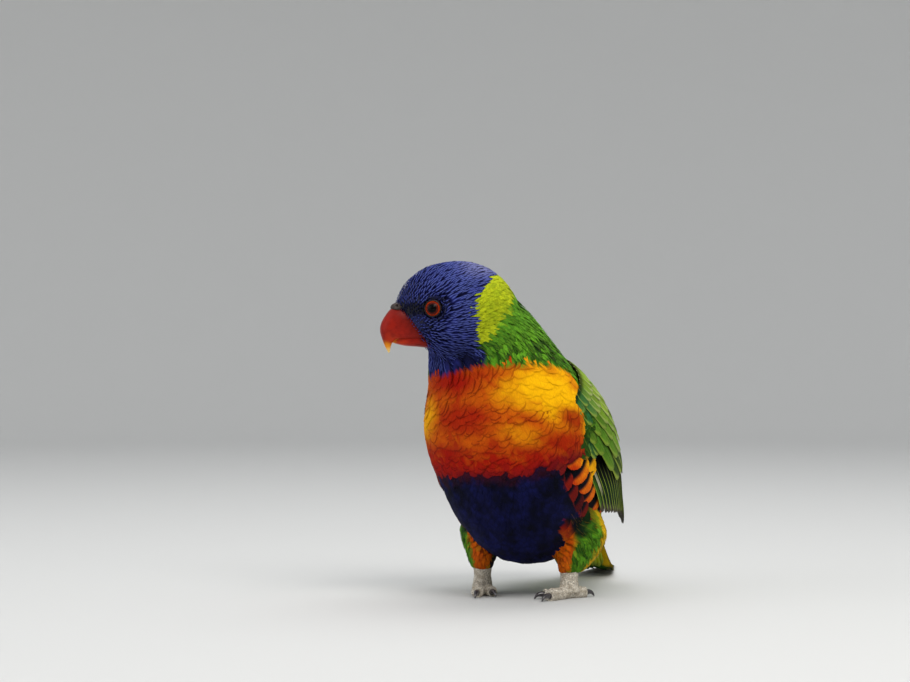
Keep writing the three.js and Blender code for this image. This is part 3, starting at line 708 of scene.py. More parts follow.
LID_REACH = 4.0  # how far from the eye's middle the feathers begin
LEG_MIDDLE, LEG_TOP = (25.5, 11), 50


def skin_map(p, part):
    """Where a root lies on the skin's own unwrapping, from 0 to 1 both ways."""
    f, side, u = on_head(p)
    station, angle = on_trunk(p)
    body = np.stack([angle / 360 + 0.5, SPINE_STEPS[station]], 1)
    round_head = np.arctan2(side, u) / (2 * math.pi) + 0.5
    head = np.stack([round_head, np.arctan2(np.hypot(side, u), f) / math.pi], 1)
    round_leg = np.arctan2(np.abs(p[:, 0]) - LEG_MIDDLE[0], p[:, 1] - LEG_MIDDLE[1]) / (4 * math.pi) + 0.25
    legs = np.stack([round_leg + 0.5 * (p[:, 0] > 0), p[:, 2] / LEG_TOP], 1)
    place = np.where((part == "head")[:, None], head, np.where((part == "thigh")[:, None], legs, body))
    return np.column_stack([place * 0.99, np.zeros(len(p))])


wing_trees = [surface_of(name) for name in ("wing_left", "wing_right")]
OVER_WING = 12.0  # how far out from the skin the wings are looked for


def wing_over(p, rise):
    """How high the wing stands over each point of the skin, or 0 where there is none."""
    high = np.zeros(len(p))
    for tree in wing_trees:
        for i, (q, n) in enumerate(zip(p, rise)):
            gap = tree.ray_cast(Vector(q + n * OVER_WING), Vector(-n), OVER_WING)[3]
            if gap is not None:
                high[i] = max(high[i], OVER_WING - gap)
    return high


def settle(foot, rise, part, length, stray=0.0):
    """Lays feathers from their roots along the skin: their middles and tips, and the ways out of it there."""
    way = lie(foot, part)
    flat = unit(way - rise * (way * rise).sum(1)[:, None])
    flat = turned(flat, rise, np.broadcast_to(stray, len(foot)))
    half = np.broadcast_to(length, len(foot))[:, None] / 2
    middle, middle_rise = on_skin(foot + flat * half)
    flow = lie(middle, part)
    flow = unit(unit(flow - middle_rise * (flow * middle_rise).sum(1)[:, None]) + 0.6 * flat)
    tip, tip_rise = on_skin(middle + flow * half)
    return middle, middle_rise, tip, tip_rise


def marks_at(p, part, length):
    foot, rise = on_skin(p)
    tip = settle(foot, rise, part, length)[2]
    return plumage(tip, np.where(part == "thigh", part, part_of(tip)))


def eye_gap(p):
    return np.min([np.linalg.norm(p - eye_at(side), axis=1) for side in (-1, 1)], axis=0)


def melt_colours(mesh, owner_part, owner_warm, melt):
    """Lets the colours follow their own place by the share melt, but never across the breast's border."""
    there = plumage(from_frame(read(mesh.vertices, "co")), owner_part)
    across_border = np.where(owner_warm, there["belly"], there["warm"])
    share = np.where(owner_warm & ~there["warm"], 1.0, melt) * ~across_border
    for key in ("tip", "rim"):
        own = mesh.attributes[key].data
        own.foreach_set("vector", blend(read(own, "vector"), there[key], share).ravel())


NOTED = ("vane", "lay", "tip", "rim", "shaft", "shares", "size")  # what the feathers' finishes read
VARIED = (0.85, 1.15)  # how far lengths and widths vary
SHORTER_BY_EYE = 0.62
LEAST_LENGTH = 4
CLEARANCE = (0.2, 0.3)  # of the middle and the tip over the wing


def coat(
    name, p, part, length, half_width, slot, material, seed,
    lift=0.15, stray=0.08, lap=1.0, vary=0.11, melt=0.0, arch=(0.3, 0.8), **shape
):
    """Feathers from the roots p, each bent to follow the skin. Those that would lie over the wing are
    shortened by lap, again and again. Melt is how far a colour follows the place and not the feather, and
    arch is how high the root and the middle stand in the coat."""
    draw = np.random.default_rng(seed)
    n = len(p)
    length = length * draw.uniform(*VARIED, n)
    half_width = half_width * draw.uniform(*VARIED, n)
    foot, rise = on_skin(p)
    stray = draw.normal(0, stray, n)
    for _ in range(4):
        middle, middle_rise, tip, tip_rise = settle(foot, rise, part, length, stray)
        over_eye = np.minimum(eye_gap(middle), eye_gap(tip)) < LID_REACH + 0.3
        length = np.where(over_eye, length * SHORTER_BY_EYE, length)
    covered = wing_over(foot, rise) > 0
    for _ in range(6):
        over_wing = ~covered & (wing_over(tip, tip_rise) > 0) & (length > LEAST_LENGTH)
        length = np.where(over_wing, length * lap, length)
        middle, middle_rise, tip, tip_rise = settle(foot, rise, part, length, stray)
    wing_middle, wing_tip = wing_over(middle, middle_rise), wing_over(tip, tip_rise)
    seen = ~(covered & (wing_tip > 0))
    tip_part = np.where(part == "thigh", part, part_of(tip))
    marks = plumage(tip, tip_part)
    height = draw.uniform(0.97, 1.03, n) * coat_depth(tip) + lift * draw.uniform(0, 1, n) ** 3
    root_at = foot + rise * (arch[0] * coat_depth(foot))[:, None]
    middle_height = np.maximum(height * arch[1], np.where(covered, 0, wing_middle + CLEARANCE[0]))
    middle = middle + middle_rise * middle_height[:, None]
    tip_height = np.maximum(height, np.where(covered, 0, wing_tip + CLEARANCE[1]))
    tip = tip + tip_rise * tip_height[:, None]
    along = unit(tip - root_at)
    sideways = unit(np.cross(unit(rise + middle_rise), along))
    notes = {
        "root_at": to_frame(root_at),
        "bend_at": to_frame(2 * middle - 0.5 * (root_at + tip)),
        "tip_at": to_frame(tip),
        "sideways": sideways,
        "rise": unit(np.cross(along, sideways)),
        "foot_rise": rise,
        "tip_rise": tip_rise,
        "half_width": half_width * MM,
        "skin_place": skin_map(foot, part),
        "tip": marks["tip"] * draw.uniform(1 - vary, 1 + vary, n)[:, None],
        "rim": marks["rim"],
        "shaft": marks["shaft"],
        "shares": marks["shares"],
        "size": np.column_stack([length, half_width, draw.uniform(0, 90, n)]),
    }
    bed = bpy.data.meshes.new(name + "_roots")
    bed.from_pydata(notes["root_at"][seen].tolist(), [], [])
    for key, values in notes.items():
        mark(bed, key, values[seen])
    bedding = add_object(name + "_roots", bed)
    mesh = run_tree(bedding, VANES, Seed=seed, Finish=material, **shape)
    bpy.data.objects.remove(bedding)
    if melt:
        owner = np.repeat(np.flatnonzero(seen), len(mesh.vertices) // seen.sum())
        melt_colours(mesh, tip_part[owner], marks["warm"][owner], melt)
    for spare in [key for key in [*notes, "grid"] if key in mesh.attributes and key not in NOTED]:
        mesh.attributes.remove(mesh.attributes[spare])
    mesh.name = name
    thing = add_object(name, mesh)
    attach(thing, "root")


DOWNY = (0.25, 0.22, 0.24)  # how dark a feather's root is beside its tip, in red, green and blue
# SHADED is painted shade: the darkening along a feather's edge and in streaks between its barbs
SHADED = (0.34, 0.2, 0.28)  # the same for its dark edge, and between its barbs
BARB_WAVES = (2.6, 0.2)  # to a millimetre, across and along the barbs


def feather_finish(
    name, shaft_width, rim_from, barb_lean, roughness, barb_shade, softness, gloss=0.12, band=0
):
    """A feather's colours: a dark downy root, a coloured tip with its rim or band, a paler shaft, and barbs
    that fan out, with painted shade at its edge and between its barbs. Softness is how far the light falls as
    on the coat's own surface."""
    material, tree, shader = finish_material(name, Roughness=roughness, Specular_IOR_Level=gloss)
    along, across = split(tree, noted(tree, "vane"))[:2]
    rim_share, shaft_share, edge_shade_share = split(tree, noted(tree, "shares"))
    length, half_width, chance = split(tree, noted(tree, "size"))
    tip = noted(tree, "tip", "Color")
    outward = reckon(tree, "ABSOLUTE", across)
    run, reach = times(tree, along, length), times(tree, outward, half_width)
    leaning = times(tree, run, math.sin(barb_lean))
    barb = reckon(tree, "SUBTRACT", times(tree, reach, math.cos(barb_lean)), leaning)
    place = join(tree, times(tree, barb, BARB_WAVES[0]), times(tree, run, BARB_WAVES[1]), chance)
    grain = wire(tree, "ShaderNodeTexNoise", {"Vector": place, "Scale": 1.0, "Detail": 3.0}).outputs[0]
    late = reckon(tree, "MAXIMUM", reckon(tree, "MULTIPLY_ADD", along, 1.6, -0.6), 0.0)
    rim = reckon(tree, "ADD", reckon(tree, "POWER", outward, 3.0), reckon(tree, "POWER", late, 3.0))
    rim = reckon(tree, "POWER", reckon(tree, "MAXIMUM", rim, 0.0001), 0.3333)
    deep = tint_mix(tree, 1.0, tip, DOWNY, "MULTIPLY")
    colour = tint_mix(tree, ramp(tree, along, 0.1, 0.55), deep, tip)
    soft_rim = times(tree, ramp(tree, late if band else rim, rim_from, band or 1.0), rim_share)
    colour = tint_mix(tree, soft_rim, colour, noted(tree, "rim", "Color"))
    line = times(tree, ramp(tree, outward, shaft_width, shaft_width * 0.4), ramp(tree, along, 0.25, 0.5))
    colour = tint_mix(tree, times(tree, line, shaft_share), colour, noted(tree, "shaft", "Color"))
    # painted shade: a dark line along the feather's edge, and darker streaks between the barbs
    edge = times(tree, ramp(tree, rim, 0.9, 0.98), edge_shade_share)
    dark = reckon(tree, "MAXIMUM", edge, times(tree, ramp(tree, grain, 0.6, 0.36), barb_shade))
    colour = tint_mix(tree, dark, colour, tint_mix(tree, 1.0, colour, SHADED, "MULTIPLY"))
    finish_with(tree, shader, colour, grain, 0.0002)
    if softness:
        own = steer(tree, "SCALE", wire(tree, "ShaderNodeNewGeometry").outputs["Normal"], 1 - softness)
        coat_way = steer(tree, "SCALE", noted(tree, "lay"), softness)
        bump = shader.inputs["Normal"].links[0].from_node
        tree.links.new(steer(tree, "NORMALIZE", steer(tree, "ADD", own, coat_way)), bump.inputs["Normal"])
    return material


# name, the shaft's width, where the rim begins, the barbs' lean, roughness, painted shade between the barbs,
# softness, gloss, band
face_finish = feather_finish("violet_hackles", 0.45, 0.6, 0.3, 0.7, 0.2, 0.35, 0.05)
soft_finish = feather_finish("soft_feathers", 0.1, 0.55, 0.5, 0.8, 0.3, 0.75)
silk_finish = feather_finish("breast_feathers", 0.06, 0.6, 0.25, 0.75, 0.2, 0.85, 0.06)
bar_finish = feather_finish("barred_feathers", 0.06, 0.12, 0.25, 0.75, 0.3, 0.8, 0.06, 0.5)

# Head: short, narrow hackles, violet with paler shafts, in rows that lie back from the bill and round the
# eyes. They are finest beside the bill and longest on the throat.
bill_trees = [surface_of(name) for name in ("bill_upper", "bill_lower", "cere")]
foot_trees = [surface_of(name) for name in ("foot_left", "foot_right")]
head_roots = roots(1.12, 3)
head_part = part_of(head_roots)
clear = nearest_gaps(head_roots, bill_trees + foot_trees).min(0) > 0.3
clear &= eye_gap(head_roots) > LID_REACH
face_size = ease(8, 34, np.linalg.norm(head_roots - head_point(24, 0, -6), axis=1))
hackle_length, hackle_width = mix(2.2, 6.8, face_size), mix(0.42, 1.0, face_size)
hackle = clear & marks_at(head_roots, head_part, hackle_length)["violet"]
coat(
    "head_feathers", head_roots[hackle], head_part[hackle], hackle_length[hackle], hackle_width[hackle],
    "head_plumage", face_finish, 11, lift=0.2, stray=0.1, arch=(0.05, 0.9),
    Strips=5, Fray=0.05, Rounding=0.1, Camber=0.35, Root_shape=0.2, Tip_shape=0.97,
)

# Neck: soft, hair-like feathers, lime on the collar and green below it. They lie down over the shoulders and
# over the upper border of the breast.
neck_roots = roots(1.5, 5)
neck_part = part_of(neck_roots)
neck_marks = marks_at(neck_roots, neck_part, 9)
of_neck = ~neck_marks["violet"] & ~neck_marks["warm"] & np.isin(neck_part, ["neck", "head"])
of_neck &= nearest_gaps(neck_roots, bill_trees).min(0) > 0.5
coat(
    "neck_feathers", neck_roots[of_neck], neck_part[of_neck], 9.5, 1.7, "neck_plumage", soft_finish, 17,
    lift=0.2, stray=0.1, Strips=9, Fray=0.14, Rounding=0.3, Camber=0.08, Tip_shape=0.88,
)

# Body: broad, silky breast feathers with fine, dark rims, then the finer ones of the belly and the vent, and
# the back's larger ones. Those beside the wings are narrower, and none lies over a wing.
body_roots = roots(2.5, 9)
body_part = part_of(body_roots)
body_marks = marks_at(body_roots, body_part, 13)
warm = body_marks["warm"] & (body_part != "head") & (body_marks["gap"] > 4)
cool = (body_part == "torso") & ~warm & ~body_marks["flank"]
on_back = np.abs(on_trunk(body_roots)[1]) < 66
full = np.interp(body_marks["gap"], [4, 16], [3.0, 6.0])  # half width, beside the wing and away from it
silky = {"material": silk_finish, "lift": 0.1, "vary": 0.04, "arch": (0.5, 0.8)}
breast = {"length": 15, "half_width": full, "lap": 0.8, "melt": 0.9}
breast |= {"Fray": 0.035, "Rounding": 0.25, "Tip_shape": 0.7}
belly = {"length": 11.5, "half_width": 0.6 * full + 0.2, "lap": 0.72, "melt": 0.8}
belly |= {"Rounding": 0.4, "Tip_shape": 0.84}
back = {"length": 13, "half_width": 0.7 * full + 2.1, "Fray": 0.06, "Rounding": 0.4, "Tip_shape": 0.84}
BODY_COATS = [
    ("breast_feathers_left", warm & (body_roots[:, 0] > 0), silky | breast),
    ("breast_feathers_right", warm & (body_roots[:, 0] <= 0), silky | breast),
    ("belly_feathers", cool & ~on_back, silky | belly),
    ("back_feathers", cool & on_back, {"material": soft_finish} | back),
]
for seed, (name, chosen, form) in enumerate(BODY_COATS, 23):
    form["half_width"] = form["half_width"][chosen]
    coat(
        name, body_roots[chosen], body_part[chosen], slot="body_plumage", seed=seed, stray=0.05,
        Strips=13, Camber=0.13, **form,
    )

# Flanks: a few rows of broad, dark feathers beside each wing, whose red, orange and yellow ends make the
# bars. Each row slopes up towards the back, and is laid from where its feathers end.
FLANK_Z, FLANK_ANGLES, MIDDLE_ANGLE = (72, 67.5, 61.5, 56, 51, 46, 41.5), (152, 138, 122, 106), 122
FLANK_LENGTH = 12
flank_bed = roots(0.9, 21)
_, flank_angle = on_trunk(flank_bed)
flank_ends = []
for side in (1, -1):
    for middle_z in FLANK_Z:
        for across in FLANK_ANGLES:
            end_z = middle_z + 0.3 * (MIDDLE_ANGLE - across)
            off = np.hypot(0.6 * (flank_angle - side * across), flank_bed[:, 2] - end_z)
            flank_ends.append(flank_bed[off.argmin()])
flank_ends = np.array(flank_ends)
flank_part = np.full(len(flank_ends), "torso")
flank_roots = flank_ends - FLANK_LENGTH * lie(flank_ends, flank_part)
coat(
    "flank_feathers", flank_roots, flank_part, FLANK_LENGTH, 6.6, "body_plumage", bar_finish, 29,
    lift=0.4, stray=0.04, lap=0.85, melt=0.8,
    Strips=25, Steps=9, Fray=0.05, Rounding=0.22, Camber=0.12, Tip_shape=0.72,
)

# Thighs: short, soft feathers, green outside and orange inside, that fall over each ankle as a loose cuff.
# The skin under them runs on into the bare foot.
thigh_roots = roots(1.25, 13)
thigh_part = part_of(thigh_roots)
for seed, (name, side) in enumerate([("left", 1), ("right", -1)], 31):
    chosen = (side * thigh_roots[:, 0] > 0) & (thigh_part == "thigh")
    coat(
        "thigh_feathers_" + name, thigh_roots[chosen], thigh_part[chosen], 8.5, 1.3, "thigh_plumage",
        soft_finish, seed, lift=0.2, stray=0.1, Strips=7, Fray=0.16, Camber=0.08,
    )

# Eyes: a wet ball with a wide orange-red iris round a dark pupil, sunk into each side of the skull. Bare,
# beaded lids stand up round it as a low ring of skin.
EYE_RINGS, EYE_SIDES = 40, 64
# radius and height of the lids' rings, from the inside out
LIDS = [(3.6, -2.5), (3.6, 0.2), (3.75, 0.75), (3.85, 0.75), (3.9, 0.6), (4.15, 0), (4.15, -2.5)]
LID_BEADS = 22
CORNEA = (0.25, 0.35)  # how far the clear front bulges, and how wide it is, in radians
IRIS = {"inner_ring": (3.25, 2.85), "pupil": (2.4, 1.9), "edge": (3.6, 3.8)}  # from the eye's middle line
EYE_BACK = 9  # put on the distance at the back of the ball, so that it takes the edge's colour


def grid_faces(rows, columns, closed=True):
    """Four-cornered faces over rows of points, each row closed into a ring if asked."""
    i, j = np.meshgrid(np.arange(rows - 1), np.arange(columns if closed else columns - 1), indexing="ij")
    k = (j + 1) % columns
    faces = np.stack([i * columns + j, i * columns + k, (i + 1) * columns + k, (i + 1) * columns + j], -1)
    return faces.reshape(-1, 4).tolist()


def solid_piece(name, points, faces, material, marks=(), replaced=()):
    """A closed, smooth piece with its faces turned outwards."""
    mesh = bpy.data.meshes.new(name)
    mesh.from_pydata(to_frame(points).tolist(), [], faces)
    for key, values in dict(marks).items():
        mark(mesh, key, values)
    form = bmesh.new()
    form.from_mesh(mesh)
    bmesh.ops.recalc_face_normals(form, faces=form.faces)
    form.to_mesh(mesh)
    form.free()
    mesh.materials.append(material)
    mesh.shade_smooth()
    thing = add_object(name, mesh)
    if replaced:
        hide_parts(*replaced)
    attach(thing, "root")
    return thing


def ring_points(run, sides, rows):
    """Rings from a function that gives one for each of the rows, closed by a middle point at both ends."""
    rings = [run(k) for k in rows]
    points = np.concatenate([*rings, rings[0].mean(0)[None], rings[-1].mean(0)[None]])
    faces = grid_faces(len(rings), sides)
    first, last, top = len(rings) * sides, len(rings) * sides + 1, len(rings) * sides - sides
    faces += [(first, (j + 1) % sides, j) for j in range(sides)]
    faces += [(last, top + j, top + (j + 1) % sides) for j in range(sides)]
    return points, faces


iris_finish, tree, shader = finish_material("wet_iris", Roughness=0.16, Specular_IOR_Level=0.07)
reach = noted(tree, "reach", "Fac")
colour = tint_mix(tree, ramp(tree, mottle(tree, 2600.0, 2.0), 0.3, 0.7), paint("a3260d"), paint("d04416"))
colour = tint_mix(tree, ramp(tree, reach, *IRIS["inner_ring"]), colour, paint("4a130b"))
colour = tint_mix(tree, ramp(tree, reach, *IRIS["pupil"]), colour, paint("030203"))
finish_with(tree, shader, tint_mix(tree, ramp(tree, reach, *IRIS["edge"]), colour, paint("1d0d0b")))
lid_finish, tree, shader = finish_material("bare_lids", Roughness=0.55)
pores = mottle(tree, 1800.0, 3.0)
finish_with(tree, shader, tint_mix(tree, pores, paint("0b0809"), paint("241413")), pores, 0.0002)
for name, side in (("left", 1), ("right", -1)):
    axis = eye_axis(side)
    level = unit(np.cross(axis, [0, 0, 1]))
    upright = np.cross(level, axis)
    around = np.linspace(0, 2 * math.pi, EYE_SIDES, endpoint=False)
    spokes = np.cos(around)[:, None] * level + np.sin(around)[:, None] * upright
    centre = eye_at(side) - axis * EYE["sunk"]

    def ball_ring(k):
        bulge = EYE["ball"] + CORNEA[0] * math.exp(-((k / CORNEA[1]) ** 2))
        return centre + bulge * (math.cos(k) * axis + math.sin(k) * spokes)

    rows = np.linspace(0.02, math.pi - 0.05, EYE_RINGS)
    points, faces = ring_points(ball_ring, EYE_SIDES, rows)
    off = points - centre
    out = off @ axis
    reach = np.linalg.norm(off - out[:, None] * axis, axis=1) + EYE_BACK * (out < 0)
    solid_piece("eyeball_" + name, points, faces, iris_finish, {"reach": reach}, ["eye_" + name])
    beads = 1 + 0.03 * np.cos(around * LID_BEADS)
    rings = [
        eye_at(side) + spokes * (r * beads)[:, None] + axis * out * np.where(out > 0, beads, 1)[:, None]
        for r, out in LIDS
    ]
    last = (len(LIDS) - 1) * EYE_SIDES
    faces = grid_faces(len(LIDS), EYE_SIDES)
    faces += [(j, (j + 1) % EYE_SIDES, last + (j + 1) % EYE_SIDES, last + j) for j in range(EYE_SIDES)]
    solid_piece("lids_" + name, np.concatenate(rings), faces, lid_finish)

# Bill: two smooth, hooked halves of horn, orange-red with a yellow tip, and a painted highlight as a yellow
# line along the cutting edge. The upper one grows down over the lower one, which closes up inside it.
BILL_SIDES, BILL_ROWS = 56, 60
# from root to tip: the top line's place ahead and up, the underside's, and the half width
UPPER = smooth(
    [
        [22, -1.5, 11, -18, 6.4],
        [28.4, -3, 16.5, -18.2, 6.5],
        [32, -7, 21.5, -18, 6.1],
        [34, -11, 25, -18, 5.3],
        [34.3, -14.5, 27, -18.4, 4.1],
        [33.2, -18.5, 28.6, -19.8, 2.7],
        [31.9, -21.8, 29.2, -21.4, 1.5],
        [30.3, -24.7, 29.8, -24.5, 0.35],
    ]
)
LOWER = smooth(
    [
        [11, -16.8, 9, -22.6, 5],
        [17.4, -17, 16, -21.8, 5.2],
        [22, -17.2, 21.6, -21.4, 4.6],
        [26, -17.6, 25.6, -20.6, 3.2],
        [28.4, -18.8, 28.3, -19.8, 1.2],
    ]
)
bill_turn = np.linspace(0, 2 * math.pi, BILL_SIDES, endpoint=False)


def bill_ring(run, fullness):
    """Rings along a half of the bill, fuller or flatter above and below as said."""

    def ring(k):
        f0, u0, f1, u1, half_width = run(k)[0]
        top, bottom = head_point(f0, 0, u0), head_point(f1, 0, u1)
        s, c = np.sin(bill_turn), np.cos(bill_turn)
        power = np.where(c > 0, *fullness)
        wide = half_width * np.sign(s) * np.abs(s) ** power
        high = np.sign(c) * np.abs(c) ** power
        return (top + bottom) / 2 + wide[:, None] * head_left + high[:, None] * (top - bottom) / 2

    return ring


bill_finish, tree, shader = finish_material("bill_horn", Roughness=0.42, Specular_IOR_Level=0.14)
growth, fine = mottle(tree, 420.0, 4.0), mottle(tree, 1900.0, 2.0)
horn = noted(tree, "tip", "Color")
colour = tint_mix(tree, 1.0, horn, (0.72, 0.55, 0.5), "MULTIPLY")
colour = tint_mix(tree, ramp(tree, growth, 0.42, 0.75), horn, colour)
finish_with(tree, shader, colour, reckon(tree, "MULTIPLY_ADD", fine, 0.4, growth), 0.00012)
for name, run, fullness in (("upper", UPPER, (0.85, 0.35)), ("lower", LOWER, (0.3, 0.85))):
    rows = 1 - np.linspace(1, 0, BILL_ROWS) ** 1.25  # closer together at the tip
    points, faces = ring_points(bill_ring(run, fullness), BILL_SIDES, rows)
    t = np.concatenate([np.repeat(rows, BILL_SIDES), rows[[0, -1]]])
    height = np.concatenate([np.tile(np.cos(bill_turn), len(rows)), [0, 0]])
    horn = blend(paint("6d0f06"), paint("8f1707"), ease(0.05, 0.35, t))
    horn = blend(horn, paint("b8330b"), ease(0.3, 0.75, t) * ease(0.9, -0.6, height))
    if name == "lower":
        horn = blend(horn, paint("d8821c"), ease(0.75, 1, t))
    else:
        horn = blend(horn, paint("e08a12"), ease(0.68, 0.84, t))
        horn = blend(horn, paint("f0cf7c"), ease(0.84, 0.97, t))
        # painted highlight: a short yellow line along the cutting edge near the notch
        horn = blend(horn, paint("eab032"), ease(0.44, 0.52, t) * ease(-0.8, -0.93, height))
    solid_piece("bill_horn_" + name, points, faces, bill_finish, {"tip": horn}, ["bill_" + name])

# Cere: bare, dark, finely pored skin drawn as a low saddle over the root of the upper bill. It has a nostril
# in each side, sunk in a raised rim, its pit darkened with painted shade.
CERE = {"f": 25.4, "u": -2.8, "reach": (3.9, 5.1, 2.5)}
NOSTRIL = {"f": 26.7, "side": 4.3, "u": -2.2, "radius": 0.75, "depth": 1.3, "rim": 0.35}
CERE_SIDES, CERE_ROWS = 72, 56
cere_finish, tree, shader = finish_material("cere_skin", Roughness=0.6)
pores = mottle(tree, 1500.0, 3.0)
colour = tint_mix(tree, ramp(tree, pores, 0.35, 0.7), paint("1f1613"), paint("46352c"))
# painted shade: the nostrils' pits are darkened
colour = tint_mix(tree, noted(tree, "nostril_shade", "Fac"), colour, paint("120c0a"))
finish_with(tree, shader, colour, pores, 0.0002)
cere_turn = np.linspace(0, 2 * math.pi, CERE_SIDES, endpoint=False)


def cere_ring(k):
    reach, ring = CERE["reach"], math.sin(k)
    f = CERE["f"] + reach[0] * ring * np.cos(cere_turn)
    return head_point(f, reach[1] * math.cos(k), CERE["u"] + reach[2] * ring * np.sin(cere_turn))


points, faces = ring_points(cere_ring, CERE_SIDES, np.linspace(0.03, math.pi - 0.03, CERE_ROWS))
middle = head_point(CERE["f"], 0, CERE["u"])
nostril_shade = np.zeros(len(points))
for side in (-1, 1):
    hole = head_point(NOSTRIL["f"], side * NOSTRIL["side"], NOSTRIL["u"])
    off = np.linalg.norm(points - hole, axis=1) / NOSTRIL["radius"]
    sunk, raised = np.exp(-(off**2)), np.exp(-(((off - 1.7) / 0.5) ** 2))
    nostril_shade = np.maximum(nostril_shade, sunk)
    points += unit(points - middle) * (NOSTRIL["rim"] * raised - NOSTRIL["depth"] * sunk)[:, None]
solid_piece("cere_skin", points, faces, cere_finish, {"nostril_shade": ease(0.35, 0.7, nostril_shade)}, ["cere"])

# Feet: pale grey, scaled skin over four toes, two ahead and two behind, with broad scutes across the top of
# each toe and fine round scales on the shank, and a dark, hooked claw at the end of each toe.
ANKLE = {"x": 23.5, "y": 6.0, "z": 12.5}
TOE_IN = 30  # how far both feet are turned in, in degrees
# name, turn from straight ahead, length, radius, and the claw's length
TOES = [
    ("inner_front", 14, 13.5, 2.8, 5.8),
    ("outer_front", -16, 17, 3.1, 6.6),
    ("outer_hind", -168, 9, 3.0, 5.2),
    ("inner_hind", 154, 7, 2.6, 4.8),
]
TOE_TAPER, TOE_FLAT = (1.05, 0.88), 0.86  # in radii: at the root and the end, and the middle's height
TOE_PADS, SCUTE = (0.1, 3), 1.25  # swelling and count of the pads, and width of a scute
CLAW = {"radius": 1.6, "point": 0.18, "rise": 1.1, "bow": 1.25, "set_in": 0.6, "tip_high": 0.35}
SHANK_Z, SHANK_RADIUS = [3, 6.3, 9.6, 12.2, 14], [5.2, 4.8, 4.3, 4.6, 4.9]
TOE_SIDES, FOOT_GRAIN = 28, 0.0003  # the latter is the size of the skin's net, in metres
UP = np.array([0, 0, 1])
foot_turn = np.linspace(0, 2 * math.pi, TOE_SIDES, endpoint=False)
foot_finish, tree, shader = finish_material("scaled_skin", Roughness=0.68)
spread = {"Vector": wire(tree, "ShaderNodeTexCoord").outputs["Object"], "Scale": 1150.0}
scales = wire(tree, "ShaderNodeTexVoronoi", spread, feature="DISTANCE_TO_EDGE").outputs[0]
colour = tint_mix(tree, ramp(tree, mottle(tree, 500.0, 4.0), 0.3, 0.7), paint("bfb29c"), paint("f4ecdd"))
colour = tint_mix(tree, ramp(tree, scales, 0.1, 0.0), colour, paint("857a6b"))
finish_with(tree, shader, colour, ramp(tree, scales, 0.0, 0.2), 0.00025)
claw_finish, tree, shader = finish_material("claw_horn", Roughness=0.25, Coat_Weight=0.4, Coat_Roughness=0.12)
streak = mottle(tree, 900.0, 3.0)
finish_with(tree, shader, tint_mix(tree, streak, paint("141216"), paint("4b4548")), streak, 0.0001)


def toe_frame(side, turn):
    """A toe's direction along the floor, and the one across it."""
    heading = math.radians(270 - side * (TOE_IN + turn))
    forward = np.array([math.cos(heading), math.sin(heading), 0])
    return forward, np.cross([0, 0, 1], forward)


def tube_rings(path, radii, across, relief=None):
    """Rings of a tube along a path, raised by the relief as a share of the radius."""
    along = unit(np.gradient(path, axis=0))
    up = unit(np.cross(along, across))
    rings = path[:, None] + np.sin(foot_turn)[None, :, None] * across * radii[:, None, None]
    rings = rings + np.cos(foot_turn)[None, :, None] * up[:, None] * radii[:, None, None]
    if relief is not None:
        rings = rings + (rings - path[:, None]) * relief[:, :, None]
    return rings


def toe_form(ankle, forward, across, length, radius):
    s = np.linspace(0, 1, int(length * 6))
    r = radius * mix(*TOE_TAPER, s) * (1 + TOE_PADS[0] * np.cos(s * math.pi * 2 * TOE_PADS[1]))
    path = ankle + forward * (s * length)[:, None] + UP * (r * TOE_FLAT)[:, None]
    plate = np.abs(np.sin(s * length / SCUTE * math.pi)) ** 0.5
    relief = 0.15 * (plate[:, None] - 0.5) * ease(-0.2, 0.5, np.cos(foot_turn))[None]
    return tube_rings(path, r, across, relief)


def claw_form(ankle, forward, across, length, radius, claw):
    s = np.linspace(0, 1, 26)
    start, rise = radius * TOE_TAPER[1] * TOE_FLAT, CLAW["rise"]
    reach = length - CLAW["set_in"] + (claw + 0.9) * np.sin(s * CLAW["bow"]) * 0.95
    fall = (start + rise - CLAW["tip_high"]) * s**2.2
    high = start + rise * np.sin(np.minimum(s * 1.9, 1.4)) - fall
    path = ankle + forward * reach[:, None] + UP * high[:, None]
    return tube_rings(path, CLAW["radius"] * mix(1, CLAW["point"], s**1.3), across)


def tube(rings):
    return ring_points(lambda k: rings[k], TOE_SIDES, range(len(rings)))


for name, side in (("left", 1), ("right", -1)):
    ankle = np.array([side * ANKLE["x"], ANKLE["y"], 0])
    tubes = []
    for toe, turn, length, radius, claw in TOES:
        way = toe_frame(side, turn)
        tubes.append(tube(toe_form(ankle, *way, length, radius)))
        points, faces = tube(claw_form(ankle, *way, length, radius, claw))
        points[:, 2] = np.maximum(points[:, 2], 0.02)
        label = f"{name}_{toe}"
        solid_piece("horn_" + label, points, faces, claw_finish, replaced=["claw_" + label])
    z = np.linspace(SHANK_Z[0], ANKLE["z"] + 1.5, 34)
    shank = tube_rings(ankle + UP * z[:, None], np.interp(z, SHANK_Z, SHANK_RADIUS), toe_frame(side, 0)[1])
    tubes.append(tube(shank))
    starts = np.cumsum([0] + [len(points) for points, _ in tubes])
    points = np.concatenate([points for points, _ in tubes])
    faces = [tuple(np.array(face) + start) for start, (_, own) in zip(starts, tubes) for face in own]
    mesh = bpy.data.meshes.new("foot_cast")
    mesh.from_pydata(to_frame(points).tolist(), [], faces)
    mesh = one_skin("foot_cast", mesh, FOOT_GRAIN, 3)
    spots = read(mesh.vertices, "co")
    spots[:, 2] = np.maximum(spots[:, 2], 0)
    mesh.vertices.foreach_set("co", spots.ravel())
    mesh.materials.clear()
    mesh.materials.append(foot_finish)
    mesh.shade_smooth()
    foot = add_object("foot_skin_" + name, mesh)
    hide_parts("foot_" + name)
    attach(foot, "root")

# Wings: closed over the back, each a fan of long, stiff vanes laid in rows. The primaries lie lowest, the
# secondaries and tertials over them, and rows of shorter and shorter coverts cover their roots.
THICK, TIP_FROM = 0.4, 0.8  # a vane's thickness, and where along it the tip begins
